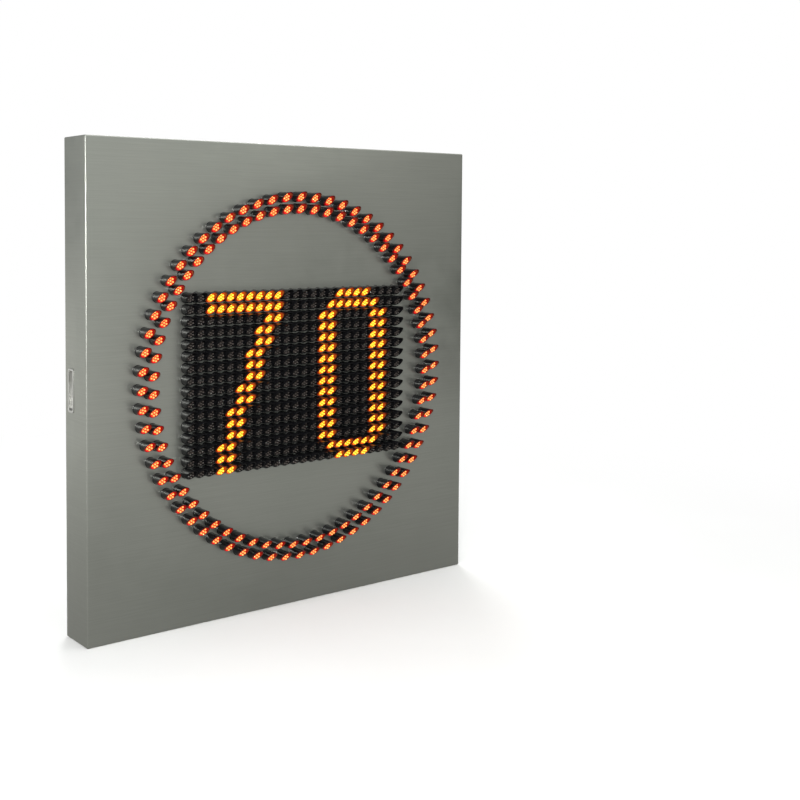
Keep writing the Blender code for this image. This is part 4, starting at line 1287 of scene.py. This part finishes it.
def stage():
    """A pale floor that becomes a white sweep away from the sign, and lights it only a little."""
    floor_mesh = bpy.data.meshes.new("floor")
    shape = bmesh.new()
    bmesh.ops.create_grid(shape, x_segments=1, y_segments=1, size=40)
    shape.to_mesh(floor_mesh)
    shape.free()
    floor = placed("floor", floor_mesh)
    floor.location.z = -0.0005
    made, shader = new_material("floor", (0.86, 0.86, 0.86), 0.7)
    wire(made, ramp(made, noise(made, 3), (0.85, 0.85, 0.85), (0.87, 0.87, 0.87)),
         shader.inputs["Base Color"])
    place = node(made, "ShaderNodeTexCoord")
    reach = node(made, "ShaderNodeVectorMath", operation="LENGTH")
    wire(made, place.outputs["Object"], reach.inputs[0])
    span = node(made, "ShaderNodeMapRange", interpolation_type="SMOOTHSTEP")
    span.inputs["From Min"].default_value = 0.5
    span.inputs["From Max"].default_value = 2.2
    wire(made, reach.outputs["Value"], span.inputs["Value"])
    sweep = node(made, "ShaderNodeEmission")
    blend = node(made, "ShaderNodeMixShader")
    wire(made, span.outputs["Result"], blend.inputs["Fac"])
    wire(made, shader.outputs["BSDF"], blend.inputs[1])
    wire(made, sweep.outputs["Emission"], blend.inputs[2])
    dim = node(made, "ShaderNodeEmission")
    dim.inputs["Color"].default_value = (1.0, 1.0, 0.96, 1)
    axes = node(made, "ShaderNodeSeparateXYZ")
    wire(made, place.outputs["Object"], axes.inputs["Vector"])
    both = node(made, "ShaderNodeMath", operation="MULTIPLY")
    wire(made, multiply_add(made, reach.outputs["Value"], 0.24, 0.34), both.inputs[0])
    wire(made, multiply_add(made, axes.outputs["X"], -0.17, 1.0), both.inputs[1])
    wire(made, both.outputs["Value"], dim.inputs["Strength"])
    split_rays(made, dim.outputs["Emission"], blend.outputs["Shader"], "Material Output")
    floor_mesh.materials.append(made)


def area_light(name, place, aim, width, height, power, colour=(1, 1, 1)):
    lamp = bpy.data.lights.new(name, "AREA")
    lamp.shape = "RECTANGLE"
    lamp.size, lamp.size_y = width, height
    lamp.energy = power
    lamp.color = colour
    holder = placed(name, lamp)
    holder.location = place
    holder.rotation_euler = (Vector(aim) - Vector(place)).to_track_quat("-Z", "Y").to_euler()
    holder.visible_camera = False


def surroundings():
    """White to the camera; everything else sees a soft room, brighter on the left and above."""
    world = bpy.data.worlds.new("room")
    bpy.context.scene.world = world
    world.use_nodes = True
    place = node(world, "ShaderNodeTexCoord")
    across = node(world, "ShaderNodeVectorMath", operation="DOT_PRODUCT")
    across.inputs[1].default_value = Vector((-0.91, 0.0, 0.41)).normalized()
    wire(world, place.outputs["Generated"], across.inputs[0])
    span = node(world, "ShaderNodeMapRange")
    span.inputs["From Min"].default_value, span.inputs["From Max"].default_value = -1.0, 1.0
    wire(world, across.outputs["Value"], span.inputs["Value"])
    tones = node(world, "ShaderNodeValToRGB")
    stops = tones.color_ramp.elements
    stops[0].position, stops[0].color = 0.10, (0.11, 0.11, 0.108, 1)
    stops[1].position, stops[1].color = 0.275, (1.46, 1.48, 1.40, 1)
    for position, tone in ((0.45, 1.0), (0.70, 0.55)):
        stops.new(position).color = (tone, 1.02 * tone, tone, 1)
    wire(world, span.outputs["Result"], tones.inputs["Fac"])
    room = world.node_tree.nodes["Background"]
    wire(world, tones.outputs["Color"], room.inputs["Color"])
    room.inputs["Strength"].default_value = 0.75
    plain = node(world, "ShaderNodeBackground")
    plain.inputs["Color"].default_value = (1, 1, 1, 1)
    split_rays(world, room.outputs["Background"], plain.outputs["Background"], "World Output")


def lights():
    area_light("window", (-1.66, FACE - 2.05, 1.06), (0, 0, 0.5), 0.22, 0.22, 42)
    area_light("key", (-2.4, -1.7, 2.3), (-0.2, 0, 0.6), 0.9, 0.9, 22, (1.0, 0.99, 0.97))
    area_light("left_strip", (-3.2, -1.3, 1.1), (-0.5, 0, 0.5), 0.35, 2.1, 16)
    area_light("left_fill", (-3.0, 1.6, 1.5), (-0.5, 0, 0.6), 1.5, 1.6, 9)
    area_light("top_fill", (0.4, -0.6, 3.2), (0, 0, 0), 2.6, 2.6, 34)
    area_light("back_fill", (1.8, 3.0, 2.2), (0, 0, 0.5), 1.6, 1.6, 60)


def camera():
    """The photograph's viewpoint: from the left, a little above the middle of the face."""
    lens = bpy.data.cameras.new("camera")
    lens.lens, lens.sensor_width = 52.598, 36
    lens.shift_x, lens.shift_y = 0.15, -0.15
    view = placed("camera", lens)
    turn = (Matrix.Rotation(-0.6215, 4, "Z") @ Matrix.Rotation(-0.0470, 4, "X")
            @ Matrix.Rotation(-0.0030, 4, "Y") @ Matrix.Rotation(math.radians(90), 4, "X"))
    view.matrix_world = Matrix.Translation((-1.5018, FACE - 2.0406, MIDDLE + 0.3280)) @ turn
    bpy.context.scene.camera = view


camera()
surroundings()
lights()
stage()
bpy.context.scene.view_settings.view_transform = "Standard"

digit_field()
double_ring()
led_boards()
cabinet_shell()
for name, side in (("side_pull_left", -1), ("side_pull_right", 1)):
    side_pull(name, side)
rails_and_rivets()
louvres()
hinge_screws()
locks()
entry_parts()
power_supply()
control_board()
switch_row()
plate_screws()
looms()
carried_over()
